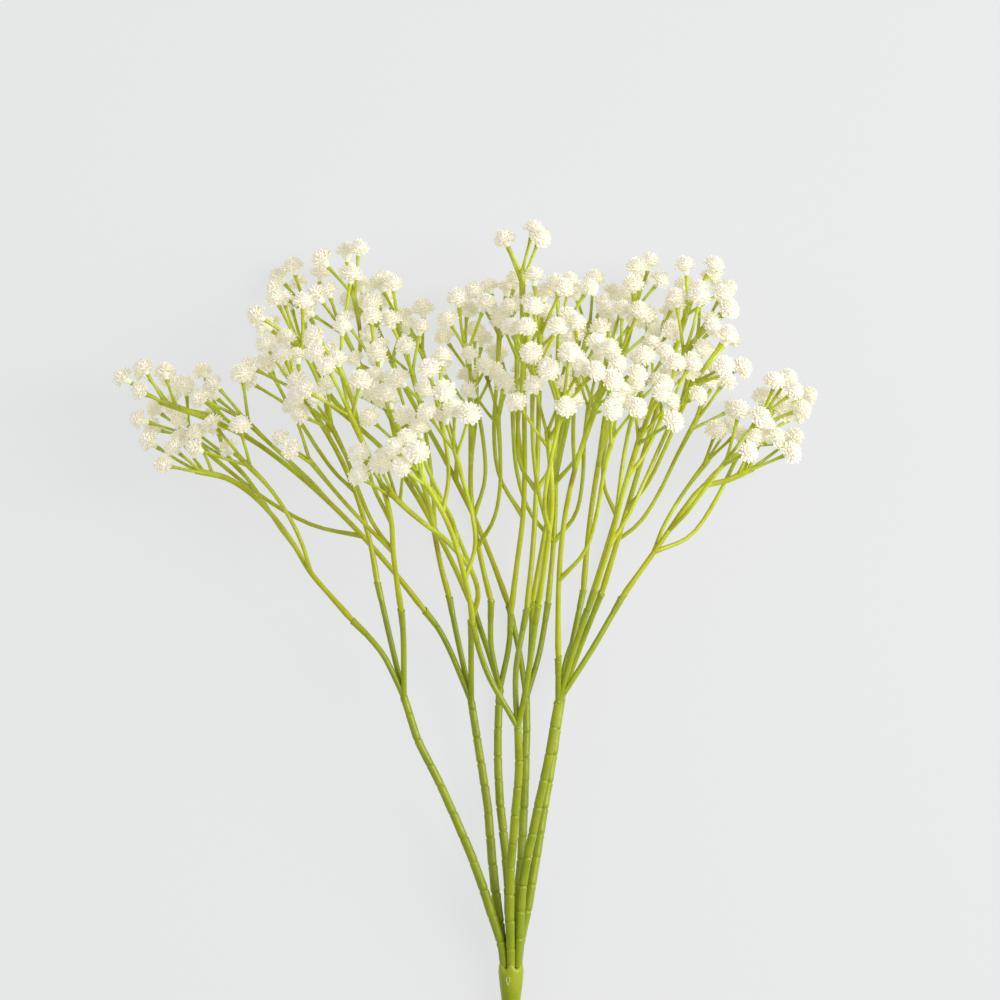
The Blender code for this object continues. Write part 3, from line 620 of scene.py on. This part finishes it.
# Painted light on the petals.
shader.inputs["Emission Color"].default_value = PETAL_PAINTED_LIGHT
shader.inputs["Emission Strength"].default_value = PETAL_PAINTED_LIGHT_STRENGTH
tree.links.new(blend(tree, cup, petal_colour, CUP_WHITE), shader.inputs["Base Color"])
print("finishes:", [m.name for m in bpy.data.materials if m.use_nodes and m.node_tree.nodes.get("Group")])

# %% [markdown]
# Everything green is a rod whose thickness changes along its way. A curve with a bevel would be round too,
# but every lip and groove would need its own curve point and radius. Here a circle is extruded from point to
# point, and each new ring is moved and scaled into its own frame. The frames turn as little as they can.

# %% Sweep a ring along a line
SHARP_OVER_DEG = 55


def frames_along(line):
    """A matrix for each point, Z along the line, turning as little as it can from one to the next."""
    frames, before, turn = [], None, None
    for i, p in enumerate(line):
        ahead = line[min(i + 1, len(line) - 1)] - line[max(i - 1, 0)]
        turn = ahead.to_track_quat("Z", "X") if before is None else before.rotation_difference(ahead) @ turn
        before = ahead
        frames.append(Matrix.Translation(p) @ turn.to_matrix().to_4x4())
    return frames


def sweep(bm, line, radii, sides, tints=None):
    """A closed rod along a line of the plant, a radius and a tint for each point; gives back its rings."""
    paint = bm.verts.layers.float["tint"]
    frames = [f @ Matrix.Scale(r * MM, 4) for f, r in zip(frames_along([metres(p) for p in line]), radii)]
    ring = bmesh.ops.create_circle(bm, cap_ends=True, segments=sides, radius=1.0, matrix=frames[0])["verts"]
    edges = list(dict.fromkeys(e for v in ring for e in v.link_edges))
    rings = [ring]
    for here, there in zip(frames, frames[1:]):
        made = bmesh.ops.extrude_edge_only(bm, edges=edges)["geom"]
        ring = [g for g in made if isinstance(g, bmesh.types.BMVert)]
        edges = [g for g in made if isinstance(g, bmesh.types.BMEdge) and all(v in ring for v in g.verts)]
        bmesh.ops.transform(bm, matrix=there @ here.inverted(), verts=ring)
        rings.append(ring)
    bmesh.ops.contextual_create(bm, geom=edges)
    for ring, tint in zip(rings, tints or [0.0] * len(rings)):
        for v in ring:
            v[paint] = tint
    return rings


def new_skin():
    """An empty mesh that can be painted with a tint."""
    bm = bmesh.new()
    bm.verts.layers.float.new("tint")
    return bm


def make_piece(name, bm, material, node=None):
    """Face a piece outwards, shade it smooth, dress it, hang it on the root, and hide any solid it stands
    for.
    """
    bmesh.ops.recalc_face_normals(bm, faces=bm.faces)
    mesh = bpy.data.meshes.new(name)
    bm.to_mesh(mesh)
    bm.free()
    mesh.shade_smooth()
    mesh.set_sharp_from_angle(angle=math.radians(SHARP_OVER_DEG))
    mesh.materials.append(material)
    obj = bpy.data.objects.new(name, mesh)
    bpy.context.scene.collection.objects.link(obj)
    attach(obj, "root")
    if node:
        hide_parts(node)
    return obj


# %% [markdown]
# The collar is one plug of plastic moulded round the feet of the stems. It is turned like a vase: a profile
# is spun round, and then its upper part is pressed in between the six outer stems, which a lathe can't do.
# The mould left a fine parting line down the stub, which runs up to a drop-shaped mark on the collar's face.

# %% Collar
COLLAR_PROFILE = [
    (0, -30), (3.1, -30), (3.65, -29.5), (3.8, -28.3), (3.8, -8), (4.0, -2), (4.5, 2), (5.0, 5.5),
    (5.45, 9), (5.75, 12), (5.95, 14.3), (5.9, 15.8), (5.5, 16.7), (4.6, 17), (2.5, 16.6), (0, 16.4),
]
COLLAR_WALL_R, COLLAR_WALL_V = zip(*COLLAR_PROFILE[1:14])
COLLAR_SIDES = 60
WELD = 0.0005
LOBES = 6
LOBE_FROM, LOBE_TO = 5.0, 15.5
LOBE_DIP, LOBE_SAG = 0.05, 2.6
MARK_U, MARK_V = -1.35, 9.0
MARK_WIDE, MARK_HALF_LONG, MARK_STEPS = 1.1, 1.9, 25
MARK_POINTED = 1.5
SEAM_R, SEAM_END, SEAM_STEPS = 0.15, 2 - STUB_LENGTH, 16
FINE_SIDES = 6


def collar_point(u, v, w):
    """Press a point of the turned collar in between the stems, more so towards the top."""
    valley = 0.5 + 0.5 * math.cos(LOBES * math.atan2(w, u))
    rise = min(1.0, max(0.0, (v - LOBE_FROM) / (LOBE_TO - LOBE_FROM)))
    squeeze = 1 - LOBE_DIP * valley * rise
    return u * squeeze, v - LOBE_SAG * valley * rise**3, w * squeeze


def on_collar(u, v):
    """The point of the collar's front at this place of the photograph."""
    r = np.interp(v, COLLAR_WALL_V, COLLAR_WALL_R)
    return collar_point(u, v, math.sqrt(r * r - u * u))


def turn_profile(bm, profile, sides):
    """Spin a profile of radii and heights round the Z axis, and weld its ends on the axis."""
    ring = [bm.verts.new((r, 0, height)) for r, height in profile]
    line = [bm.edges.new(pair) for pair in zip(ring, ring[1:])]
    spun = {"axis": (0, 0, 1), "cent": (0, 0, 0), "angle": 2 * math.pi, "steps": sides}
    bmesh.ops.spin(bm, geom=ring + line, use_merge=True, **spun)
    bmesh.ops.remove_doubles(bm, verts=bm.verts, dist=WELD)


bm = new_skin()
turn_profile(bm, COLLAR_PROFILE, COLLAR_SIDES)
for v in bm.verts:
    v.co = metres(collar_point(v.co.x, v.co.z, v.co.y))
drop = []
for turn in np.linspace(0, 2 * math.pi, MARK_STEPS):
    across = MARK_WIDE * math.sin(turn) * math.sin(turn / 2) ** MARK_POINTED
    drop.append(on_collar(MARK_U + across, MARK_V - MARK_HALF_LONG * math.cos(turn)))
seam = [on_collar(MARK_U, v) for v in np.linspace(MARK_V - MARK_HALF_LONG, SEAM_END, SEAM_STEPS)]
sweep(bm, seam, [SEAM_R] * len(seam), FINE_SIDES)
collar = make_piece("collar_moulding", bm, leaf_green, "collar")
print("collar:", len(collar.data.polygons), "faces")

# %% [markdown]
# The main stems look like bamboo: every 12 mm or so a segment ends in a soft lip, then a groove, and the next
# one starts. The rings are only steps in the radius of one sweep, which is simpler than stacking segments.
# Each segment also leans a hair off its neighbour, because the stems are bent by hand at the grooves.

# %% Ringed main stems
STEM_FOOT_R = 1.86
STEM_SKIN_R = 2.12
STEM_TOP_R = 1.7
STEM_SWELLS_BY = 0.2
STEM_SINK = 2.0
STEM_SIDES, STEM_CURVE_POINTS = 14, 90
FIRST_RING, LAST_RING = 6.0, 4.0
FIRST_RING_VARIES = 5
SEGMENT = 12.0
SEGMENT_VARIES = 1.6
KINK = 0.2
KINK_BEFORE_RING = 0.3
RING_VARIES = (0.45, 1.2)
# Painted shade: a tint in the grooves, and one that fades up from the foot of each stem.
GROOVE_DEEPER_THAN = 0.2
GROOVE_PAINTED_SHADE = 0.5
FOOT_PAINTED_SHADE = 0.45
FORK_BALL_R = STEM_TOP_R + 0.08
RING_PROFILE = [
    (-3.0, 0.0), (-1.5, 0.07), (-0.75, 0.13), (-0.35, 0.08), (0.0, -0.12),
    (0.28, -0.3), (0.6, -0.22), (1.05, 0.0), (1.9, 0.08), (3.0, 0.02),
]


def at(line, along, s):
    """The point of a line at this length along it."""
    return np.array([np.interp(s, along, line[:, k]) for k in range(3)])


def stem_radius(share):
    """It swells above the collar, then tapers to its fork."""
    swell = STEM_FOOT_R + (STEM_SKIN_R - STEM_FOOT_R) * min(1.0, share / STEM_SWELLS_BY)
    return swell + (STEM_TOP_R - STEM_SKIN_R) * max(0.0, (share - STEM_SWELLS_BY) / (1 - STEM_SWELLS_BY))


def ringed(line, radius_at, first, clear, rng):
    """Points, radii and tints of a rod with lips and grooves: painted shade in grooves and towards its foot.
    """
    along = lengths_along(line)
    length = along[-1]
    points, radii, tints = [line[0]], [radius_at(0.0)], [0.0]
    ring = first
    while ring < length - clear:
        lean = np.array([rng.uniform(-1, 1), 0, rng.uniform(-1, 1)]) * KINK
        force = rng.uniform(*RING_VARIES)
        for step, swell in RING_PROFILE:
            s = ring + step
            points.append(at(line, along, s) + lean * (1 if step > 0 else KINK_BEFORE_RING))
            radii.append(radius_at(s / length) + swell * force)
            tints.append(GROOVE_PAINTED_SHADE if swell < -GROOVE_DEEPER_THAN else 0.0)
        ring += SEGMENT + rng.uniform(-1, 1) * SEGMENT_VARIES
    points.append(line[-1])
    radii.append(radius_at(1.0))
    shade = FOOT_PAINTED_SHADE * (1 - np.linspace(0, 1, len(points)))
    return points, radii, [*np.maximum(tints + [0.0], shade)]


def ball(bm, centre, r, tint=0.5, detail=1):
    """A small swelling where rods meet, with painted shade as its tint."""
    frame = Matrix.Translation(metres(centre))
    made = bmesh.ops.create_icosphere(bm, subdivisions=detail, radius=r * MM, matrix=frame)["verts"]
    for v in made:
        v[bm.verts.layers.float["tint"]] = tint


rng = random.Random(SEED + 2)
stem_skins = {}
for name, line in stems.items():
    bm = new_skin()
    fine = smooth([line[0] - unit(line[1] - line[0]) * STEM_SINK, *line], STEM_CURVE_POINTS)
    first = STEM_SINK + FIRST_RING + rng.uniform(0, FIRST_RING_VARIES)
    points, radii, tints = ringed(fine, stem_radius, first, LAST_RING, rng)
    sweep(bm, points, radii, STEM_SIDES, tints)
    ball(bm, line[-1] - unit(line[-1] - line[-2]) * 0.4, FORK_BALL_R, 0.2, 2)
    stem_skins[name] = bm
print("rings on the last stem:", sum(tint == GROOVE_PAINTED_SHADE for tint in tints) // 2)

# %% [markdown]
# Above its fork each stem has three prongs, and each ends in a sleeve: a short socket with a flared rim, cut
# a little slanted. The hollow is real: the sweep goes over the rim and back down inside, so the foot of the
# sprig can be seen going in. A Boolean cut would need clean-up, and this needs none.

# %% Prongs and sleeves
PRONG_R = 1.3
PRONG_ROOT = 2.0
PRONG_SIDES, PRONG_CURVE_POINTS, SHAFT_POINTS = 12, 60, 9
SHAFT_TINT = 0.1
SLEEVE_LENGTH = 9.0
# For each ring: how far past the prong's end it lies, its radius and its tint, which is painted shade at the
# sleeve's foot and inside its hollow
SLEEVE_OUTSIDE = [(-9.0, 1.24, 0.5), (-7.6, 1.42, 0.1), (-4.0, 1.46, 0.0), (-1.0, 1.54, 0.0)]
SLEEVE_MOUTH = [(-0.25, 1.72, 0.0), (0.1, 1.7, 0.0), (0.15, 1.44, 0.3), (-0.4, 1.2, 1.0), (-2.4, 1.1, 1.0)]
SLANTED_RINGS = slice(-6, -1)
SLANT = (0.25, 0.8)


def sleeved_prong(bm, prong, rng):
    """A prong rooted in its stem, a little thicker there, with a hollow sleeve at its end."""
    way = unit(prong[1] - prong[0])
    fine = smooth([prong[0] - way * PRONG_ROOT, *prong], PRONG_CURVE_POINTS)
    along = lengths_along(fine)
    end = along[-1]
    points = [at(fine, along, s) for s in np.linspace(0, end - SLEEVE_LENGTH - 1, SHAFT_POINTS)]
    sleeve_way = unit(fine[-1] - fine[-4])
    points += [at(fine, along, end + step) for step, r, tint in SLEEVE_OUTSIDE]
    points += [fine[-1] + sleeve_way * step for step, r, tint in SLEEVE_MOUTH]
    sleeve = SLEEVE_OUTSIDE + SLEEVE_MOUTH
    radii = [PRONG_R * 1.1, PRONG_R * 1.05, *[PRONG_R] * (SHAFT_POINTS - 2), *[r for step, r, tint in sleeve]]
    tints = [SHAFT_TINT] * SHAFT_POINTS + [tint for step, r, tint in sleeve]
    rings = sweep(bm, points, radii, PRONG_SIDES, tints)
    slope = metres(sleeve_way) - metres((0, 0, 0))
    side = slope.orthogonal().normalized()
    side.rotate(Matrix.Rotation(rng.uniform(0, 2 * math.pi), 3, slope))
    mouth, slant = metres(fine[-1]), rng.uniform(*SLANT)
    for v in [v for ring in rings[SLANTED_RINGS] for v in ring]:
        v.co += slope.normalized() * (v.co - mouth).dot(side) * slant


for name, prong in prongs.items():
    sleeved_prong(stem_skins[name[0]], prong, rng)
for number, (name, bm) in enumerate(stem_skins.items(), 1):
    node = "stem_%d" % number
    stem = make_piece(node + "_ringed", bm, leaf_green, node)
    print(stem.name, len(stem.data.polygons), "faces")

# %% [markdown]
# A head is a pompon of narrow straps, punched from soft sheet in star-shaped layers and threaded on a cup.
# One strap is a flattened ball of sixteen faces, bent a little, and each layer is that strap spun round with
# copies. Rounder straps would look no better from here, and there are some twenty thousand of them. Straps
# that all match look stamped, so noise ruffles each kind of head. The noise gets a fixed seed, because
# otherwise it would take one from the clock, and the heads would come out differently each time.

# %% Petals and heads
PETAL_THICK = 0.55
WIDEST_AT = 0.62
CUP_PROFILE = [
    (0, 0), (0.95, 0), (1.08, 0.35), (1.3, 1.2), (1.8, 2.2), (2.4, 3.0),
    (3.1, 3.7), (3.3, 4.8), (2.9, 6.1), (1.9, 7.1), (0, 7.5),
]
CUP_TOP = 3.1
CUP_SIDES = 9
# Painted shade at the foot of each strap, where the petals meet, fades out this fast towards the tip.
ROOT_PAINTED_SHADE_FADES = 1.3
LAYER_TURN = 0.7
# For each layer: petals, rise in degrees, length, width, foot radius and height, and how far the tip curls up
HEADS = {
    "open": [
        (12, -30, 3.9, 1.55, 1.1, 4.0, 0.7), (14, -10, 4.4, 1.6, 0.8, 4.0, 0.7),
        (14, 8, 4.5, 1.6, 0.6, 4.2, 0.6), (12, 26, 4.4, 1.6, 0.4, 4.4, 0.5),
        (10, 43, 4.2, 1.55, 0.3, 4.5, 0.4), (7, 61, 4.0, 1.5, 0.3, 4.6, 0.2),
        (4, 80, 3.8, 1.4, 0.4, 4.7, 0.0),
    ],
    "dome": [
        (12, -18, 4.0, 1.6, 1.0, 4.0, 0.7), (13, 0, 4.3, 1.6, 0.8, 4.1, 0.7),
        (13, 18, 4.4, 1.65, 0.6, 4.3, 0.5), (11, 36, 4.4, 1.6, 0.4, 4.5, 0.4),
        (9, 54, 4.3, 1.5, 0.3, 4.6, 0.2), (5, 73, 4.2, 1.4, 0.3, 4.8, 0.0),
    ],
    "flat": [
        (13, -32, 4.2, 1.55, 1.1, 4.0, 0.6), (14, -13, 4.6, 1.6, 0.8, 4.0, 0.7),
        (13, 4, 4.6, 1.6, 0.6, 4.2, 0.6), (11, 22, 4.3, 1.6, 0.4, 4.3, 0.6),
        (9, 41, 3.8, 1.55, 0.3, 4.4, 0.4), (6, 62, 3.3, 1.45, 0.4, 4.5, 0.2),
    ],
    "tight": [
        (11, -8, 3.9, 1.65, 0.9, 3.8, 0.9), (12, 10, 4.1, 1.65, 0.7, 4.0, 0.7),
        (11, 27, 4.2, 1.6, 0.5, 4.2, 0.5), (9, 45, 4.2, 1.55, 0.4, 4.4, 0.2),
        (7, 62, 4.2, 1.5, 0.3, 4.6, 0.0), (4, 80, 4.2, 1.4, 0.3, 4.8, -0.2),
    ],
}
RUFFLE = 0.9
RUFFLE_FINENESS = 0.6
RUFFLE_SHIFT = 7.3
CENTRE, Z_AXIS = (0, 0, 0), (0, 0, 1)


def petal_layer(count, rise, length, width, foot_r, height, curl):
    """One strap with pointed ends, widest past its middle, bent, raised and copied round the axis."""
    bm = bmesh.new()
    paint = bm.verts.layers.float.new("tint")
    bmesh.ops.create_uvsphere(bm, u_segments=4, v_segments=4, radius=0.5)
    bmesh.ops.rotate(bm, verts=bm.verts, cent=CENTRE, matrix=Matrix.Rotation(math.pi / 2, 3, "Y"))
    bmesh.ops.scale(bm, verts=bm.verts, vec=(length, width, PETAL_THICK))
    bmesh.ops.translate(bm, verts=bm.verts, vec=(length / 2, 0, 0))
    for v in bm.verts:
        share = v.co.x / length
        v.co.x += length * (WIDEST_AT - 0.5) * math.sin(share * math.pi)
        v.co.z += curl * share**2
        v[paint] = max(0.0, 1 - ROOT_PAINTED_SHADE_FADES * share)
    bmesh.ops.rotate(bm, verts=bm.verts, cent=CENTRE, matrix=Matrix.Rotation(-math.radians(rise), 3, "Y"))
    bmesh.ops.translate(bm, verts=bm.verts, vec=(foot_r, 0, height))
    whole = [*bm.verts, *bm.edges, *bm.faces]
    copies = {"angle": 2 * math.pi * (count - 1) / count, "steps": count - 1, "use_duplicate": True}
    bmesh.ops.spin(bm, geom=whole, axis=Z_AXIS, cent=CENTRE, **copies)
    return bm


def pompon(name, layers, seed):
    """A head in millimetres, Z along its stalk: a cup, petals over it, and a ruffle through them all."""
    bm = bmesh.new()
    bm.verts.layers.float.new("tint")
    cup = bm.verts.layers.float.new("cup")
    turn_profile(bm, CUP_PROFILE, CUP_SIDES)
    for v in bm.verts:
        v[cup] = 1.0 if v.co.z < CUP_TOP else 0.0
    for number, layer in enumerate(layers):
        star = petal_layer(*layer)
        turn = Matrix.Rotation(number * LAYER_TURN, 3, "Z")
        bmesh.ops.rotate(star, verts=star.verts, cent=CENTRE, matrix=turn)
        sheet = bpy.data.meshes.new("layer")
        star.to_mesh(sheet)
        star.free()
        bm.from_mesh(sheet)
        bpy.data.meshes.remove(sheet)
    for v in bm.verts:
        out = min(1.0, v.co.xy.length / HEAD_R)
        place = v.co * RUFFLE_FINENESS + Vector((seed * RUFFLE_SHIFT, 0, 0))
        v.co += noise.noise_vector(place) * RUFFLE * out
    bmesh.ops.recalc_face_normals(bm, faces=bm.faces)
    mesh = bpy.data.meshes.new(name)
    bm.to_mesh(mesh)
    bm.free()
    return mesh


noise.seed_set(SEED)
heads = {name: pompon("head " + name, layers, seed) for seed, (name, layers) in enumerate(HEADS.items())}
print("faces of each kind of head:", {name: len(mesh.polygons) for name, mesh in heads.items()})

# %% [markdown]
# A sprig's stalks swell where they meet, as moulded branches do, because a sharp inner corner would tear.
# Every stalk ends in a small green cup, and the head's own cup sits in it. Heads vary in size and turn by a
# seeded draw, and lean a little upwards, as heads turn to the light and here to the viewer. Those that lie on
# the floor are pressed flat by moving whatever is under it up to it.

# %% Sprigs
SPRIG_FOOT_R = 1.2
SPRIG_TOP_R = 1.08
# Painted shade: on the sprig's foot in its sleeve and fading up its axis, and at the foot of each shoot.
SPRIG_FOOT_PAINTED_SHADE = 0.8
SHOOT_SKIN_R = 0.92
SHOOT_FOOT_PAINTED_SHADE = 0.5
ROOT_SWELL, ROOT_SWELL_FADES = 0.3, 7
KNOT_SWELL, KNOT_SWELL_FROM = 0.42, 0.72
NODE_BALL_R, KNOT_BALL_R, STALK_BALL_R = 1.12, 1.2, 1.08
PLUG = 2.6
# For each ring of a stalk: its share of the way, its radius and its tint, painted shade at the knot and under
# the head.
STALK_PROFILE = [
    (0.0, 0.98, 0.5), (0.1, 0.82, 0.3), (0.45, 0.69, 0.0), (0.78, 0.7, 0.0),
    (0.88, 0.8, 0.1), (0.97, 1.02, 0.4), (1.0, 1.0, 0.4),
]
STALK_SIDES, SHOOT_SIDES, AXIS_SIDES = 8, 8, 10
SHOOT_CURVE_POINTS, AXIS_CURVE_POINTS = 16, 30
BOW = 0.7
FACING = 0.35
FACING_VARIES = (0.3, 1.3)
NOD_DEG = 10
FLOOR = 0.0
HEAD_SIZES = (0.92, 1.1)
HEAD_KINDS = ["open", "open", "dome", "dome", "flat", "tight"]


def shoot_radii(count, foot, top):
    """Thick at the root, thin on the way, and thick again at the knot where the stalks fan out."""
    radii = []
    for share in np.linspace(0, 1, count):
        root = ROOT_SWELL * max(0, 1 - share * ROOT_SWELL_FADES)
        knot = KNOT_SWELL * max(0, (share - KNOT_SWELL_FROM) / (1 - KNOT_SWELL_FROM))
        radii.append(foot + (top - foot) * share + root + knot)
    return radii


def stalk(bm, knot, tip, rng):
    """The stalk of a head: slightly bowed, with a cup at its tip."""
    side = np.cross(tip - knot, [rng.uniform(-1, 1), rng.uniform(-1, 1), rng.uniform(-1, 1)])
    bow = unit(side) * BOW * rng.uniform(0.2, 1)
    shares, radii, tints = zip(*STALK_PROFILE)
    points = [knot + (tip - knot) * t + bow * 4 * t * (1 - t) * (1 - t) for t in shares]
    sweep(bm, points, radii, STALK_SIDES, tints)


def stalks_of(sprig, plug_way, rng):
    """The green part of a sprig: its axis with the foot that plugs in, its shoots, knots and stalks."""
    bm = new_skin()
    axis = smooth(sprig["axis"], AXIS_CURVE_POINTS)
    foot = [axis[0] - plug_way * PLUG, axis[0] - plug_way * PLUG * 0.5]
    radii = shoot_radii(len(axis), SPRIG_FOOT_R, SPRIG_TOP_R)
    tints = [SPRIG_FOOT_PAINTED_SHADE, SPRIG_FOOT_PAINTED_SHADE, *np.linspace(SPRIG_FOOT_PAINTED_SHADE, 0.0, len(axis))]
    sweep(bm, [*foot, *axis], [SPRIG_FOOT_R, SPRIG_FOOT_R, SPRIG_FOOT_R, *radii[1:]], AXIS_SIDES, tints)
    ball(bm, axis[-1], radii[-1] * 1.05, 0.5, 2)
    for shoot in sprig["shoots"]:
        line = smooth(shoot, SHOOT_CURVE_POINTS)
        radii = shoot_radii(len(line), SHOOT_SKIN_R, SHOOT_SKIN_R)
        sweep(bm, line, radii, SHOOT_SIDES, list(np.linspace(SHOOT_FOOT_PAINTED_SHADE, 0.0, len(line))))
        ball(bm, line[0], NODE_BALL_R, 0.4)
        ball(bm, line[-1], KNOT_BALL_R, 0.5, 2)
    for knot, tip, way in sprig["heads"]:
        stalk(bm, knot, tip, rng)
        ball(bm, knot, STALK_BALL_R, 0.6)
    return bm


def heads_of(sprig, rng):
    """The heads of a sprig, each a copy of one of the four kinds, stood on the tip of its stalk."""
    bm = bmesh.new()
    for knot, tip, way in sprig["heads"]:
        foot = metres(tip)
        ahead = (metres(tip + way) - foot).normalized() + Vector((0, 0, FACING * rng.uniform(*FACING_VARIES)))
        frame = ahead.to_track_quat("Z", "Y").to_matrix().to_4x4()
        turn = Matrix.Rotation(rng.uniform(0, 2 * math.pi), 4, "Z")
        nod = Matrix.Rotation(math.radians(rng.uniform(-NOD_DEG, NOD_DEG)), 4, "X")
        size = Matrix.Scale(rng.uniform(*HEAD_SIZES) * MM, 4)
        copy = heads[rng.choice(HEAD_KINDS)].copy()
        copy.transform(Matrix.Translation(foot) @ frame @ turn @ nod @ size)
        bm.from_mesh(copy)
        bpy.data.meshes.remove(copy)
    for v in bm.verts:
        v.co.z = max(v.co.z, FLOOR)
    return bm


rng = random.Random(SEED + 1)
for number, (name, sprig) in enumerate(sprigs.items(), 1):
    node = "sprig_%02d" % number
    plug_way = unit(sprig["axis"][1] - sprig["axis"][0])
    green = make_piece(node + "_stalks", stalks_of(sprig, plug_way, rng), spring_green, node)
    cream = make_piece(node + "_heads", heads_of(sprig, rng), ivory, node)
    print(node, len(green.data.polygons), "green faces,", len(cream.data.polygons), "petal faces")

# %% [markdown]
# Where a sprig is pushed into a sleeve, thin flash torn from the mould sometimes stays as pale whiskers. They
# are slim cones that stick out of the rims of seven sleeves, as the photograph shows flecks at a few. The
# rim of the drop-shaped mark on the collar gets a painted highlight: a thin ridge in the same pale finish,
# swept here too. Painting both on would be quicker, but real flash stands up and catches the light.

# %% Flash at some sleeves, and a painted highlight round the collar's mark
WHISKERS = {"a2": 4, "b2": 5, "c3": 4, "d2": 3, "e1": 5, "f2": 4, "g2": 3}
WHISKER_RADII, WHISKER_SIDES = [0.24, 0.15, 0.05], 5
WHISKER_ROOT = 1.1
WHISKER_LEAN = 0.9
WHISKER_HEIGHTS, WHISKER_SLOPES = (0, 0.6), (-0.5, 1.2)
WHISKER_LENGTHS = (0.6, 1.3)
MARK_HIGHLIGHT_R = 0.2

bm = new_skin()
# A painted highlight: a pale ridge along the rim of the collar's mark.
sweep(bm, drop, [MARK_HIGHLIGHT_R] * len(drop), FINE_SIDES)
for name, count in WHISKERS.items():
    way = unit(prongs[name][-1] - prongs[name][-2])
    for i in range(count):
        side = unit(np.cross(way, [rng.uniform(-1, 1), rng.uniform(-1, 1), rng.uniform(-1, 1)]))
        root = prongs[name][-1] + side * WHISKER_ROOT + way * rng.uniform(*WHISKER_HEIGHTS)
        slope = side * WHISKER_LEAN + way * rng.uniform(*WHISKER_SLOPES)
        tip = root + slope * rng.uniform(*WHISKER_LENGTHS)
        sweep(bm, [root, (root + tip) / 2 + way * 0.1, tip], WHISKER_RADII, WHISKER_SIDES)
flash = make_piece("sleeve_flash", bm, flash_and_highlight_pale)
print("flash:", len(flash.data.polygons), "faces")

# %% [markdown]
# The photograph is a bright cut-out: an even pale grey all round and no shadow to speak of. The floor glows a
# little as well as being lit, the way a lit sweep behind a product does, so that it stays pale under the bush
# and only faint shadows remain. A plain floor under the same light would show a web of grey.

# %% Pale floor
FLOOR_SIZE = 12.0
FLOOR_DROP = 0.0004
FLOOR_GLOW = 0.685
FLOOR_GREY = (0.12, 0.121, 0.122, 1)
FLOOR_LIGHT = (0.985, 0.995, 1.0, 1)
FLOOR_ROUGHNESS, FLOOR_SHEEN = 0.9, 0.1

bm = bmesh.new()
low_down = Matrix.Translation((0, 0, -FLOOR_DROP))
bmesh.ops.create_grid(bm, x_segments=1, y_segments=1, size=FLOOR_SIZE / 2, matrix=low_down)
sheet = bpy.data.meshes.new("floor")
bm.to_mesh(sheet)
bm.free()
floor = bpy.data.objects.new("floor", sheet)
bpy.context.scene.collection.objects.link(floor)
pale = bpy.data.materials.new("pale sweep")
pale.use_nodes = True
shader = pale.node_tree.nodes["Principled BSDF"]
shader.inputs["Base Color"].default_value = FLOOR_GREY
shader.inputs["Roughness"].default_value = FLOOR_ROUGHNESS
shader.inputs["Specular IOR Level"].default_value = FLOOR_SHEEN
shader.inputs["Emission Color"].default_value = FLOOR_LIGHT
shader.inputs["Emission Strength"].default_value = FLOOR_GLOW
sheet.materials.append(pale)
print("floor:", FLOOR_SIZE, "m across")

# %% [markdown]
# The light is a tall soft box up on the right, a weaker one on the left, and a pale room all round. The
# highlights on the stems lie right of their middle, which tells where the soft box stood. A sun lamp would
# be simpler, but its shadows are hard, and the photograph's aren't.

# %% Soft studio light
BUSH_MIDDLE = Vector((0, 0.02, 0.05))
ROOM_COLOUR, ROOM_STRENGTH = (0.95, 0.975, 1.0, 1), 0.42


def softbox(name, place, size, power, colour):
    """A light of this width and length that faces the middle of the bush."""
    light = bpy.data.lights.new(name, "AREA")
    light.shape = "RECTANGLE"
    light.size, light.size_y = size
    light.energy = power
    light.color = colour
    obj = bpy.data.objects.new(name, light)
    obj.location = place
    obj.rotation_mode = "QUATERNION"
    obj.rotation_quaternion = (BUSH_MIDDLE - Vector(place)).to_track_quat("-Z", "Y")
    bpy.context.scene.collection.objects.link(obj)


softbox("key", place=(1.25, 0.15, 1.15), size=(0.6, 1.8), power=30.0, colour=(1.0, 0.985, 0.95))
softbox("fill", place=(-1.2, 0.1, 1.3), size=(1.2, 1.2), power=4.0, colour=(0.97, 0.985, 1.0))
room = bpy.data.worlds.new("pale room")
room.use_nodes = True
room.node_tree.nodes["Background"].inputs["Color"].default_value = ROOM_COLOUR
room.node_tree.nodes["Background"].inputs["Strength"].default_value = ROOM_STRENGTH
bpy.context.scene.world = room
bpy.context.scene.view_settings.view_transform = "Standard"

# %% [markdown]
# The camera looks straight at the plant as the photographer did, which is down on it here, and leans by the
# tilt of the bush. A long lens keeps the near heads from looking larger than the far ones. The aim is the
# middle of the photograph, and the stub runs out of its lower edge.

# %% Camera
MM_PER_PIXEL = 0.45
PHOTO_SIDE = 1000
STEM_PIXEL_X = 511
LENS, SENSOR = 180.0, 36.0

middle = PHOTO_SIDE / 2
aim = metres(((middle - STEM_PIXEL_X) * MM_PER_PIXEL, middle * MM_PER_PIXEL, 0))
tilt = math.radians(TILT_DEG)
back = Vector((0, -math.sin(tilt), math.cos(tilt)))
distance = PHOTO_SIDE * MM_PER_PIXEL * MM * LENS / SENSOR
eye = bpy.data.cameras.new("camera")
eye.lens = LENS
eye.sensor_width = SENSOR
camera = bpy.data.objects.new("camera", eye)
camera.matrix_world = Matrix.Translation(aim + back * distance) @ Matrix.Rotation(tilt, 4, "X")
bpy.context.scene.collection.objects.link(camera)
bpy.context.scene.camera = camera
print("camera", round(distance, 3), "m away")
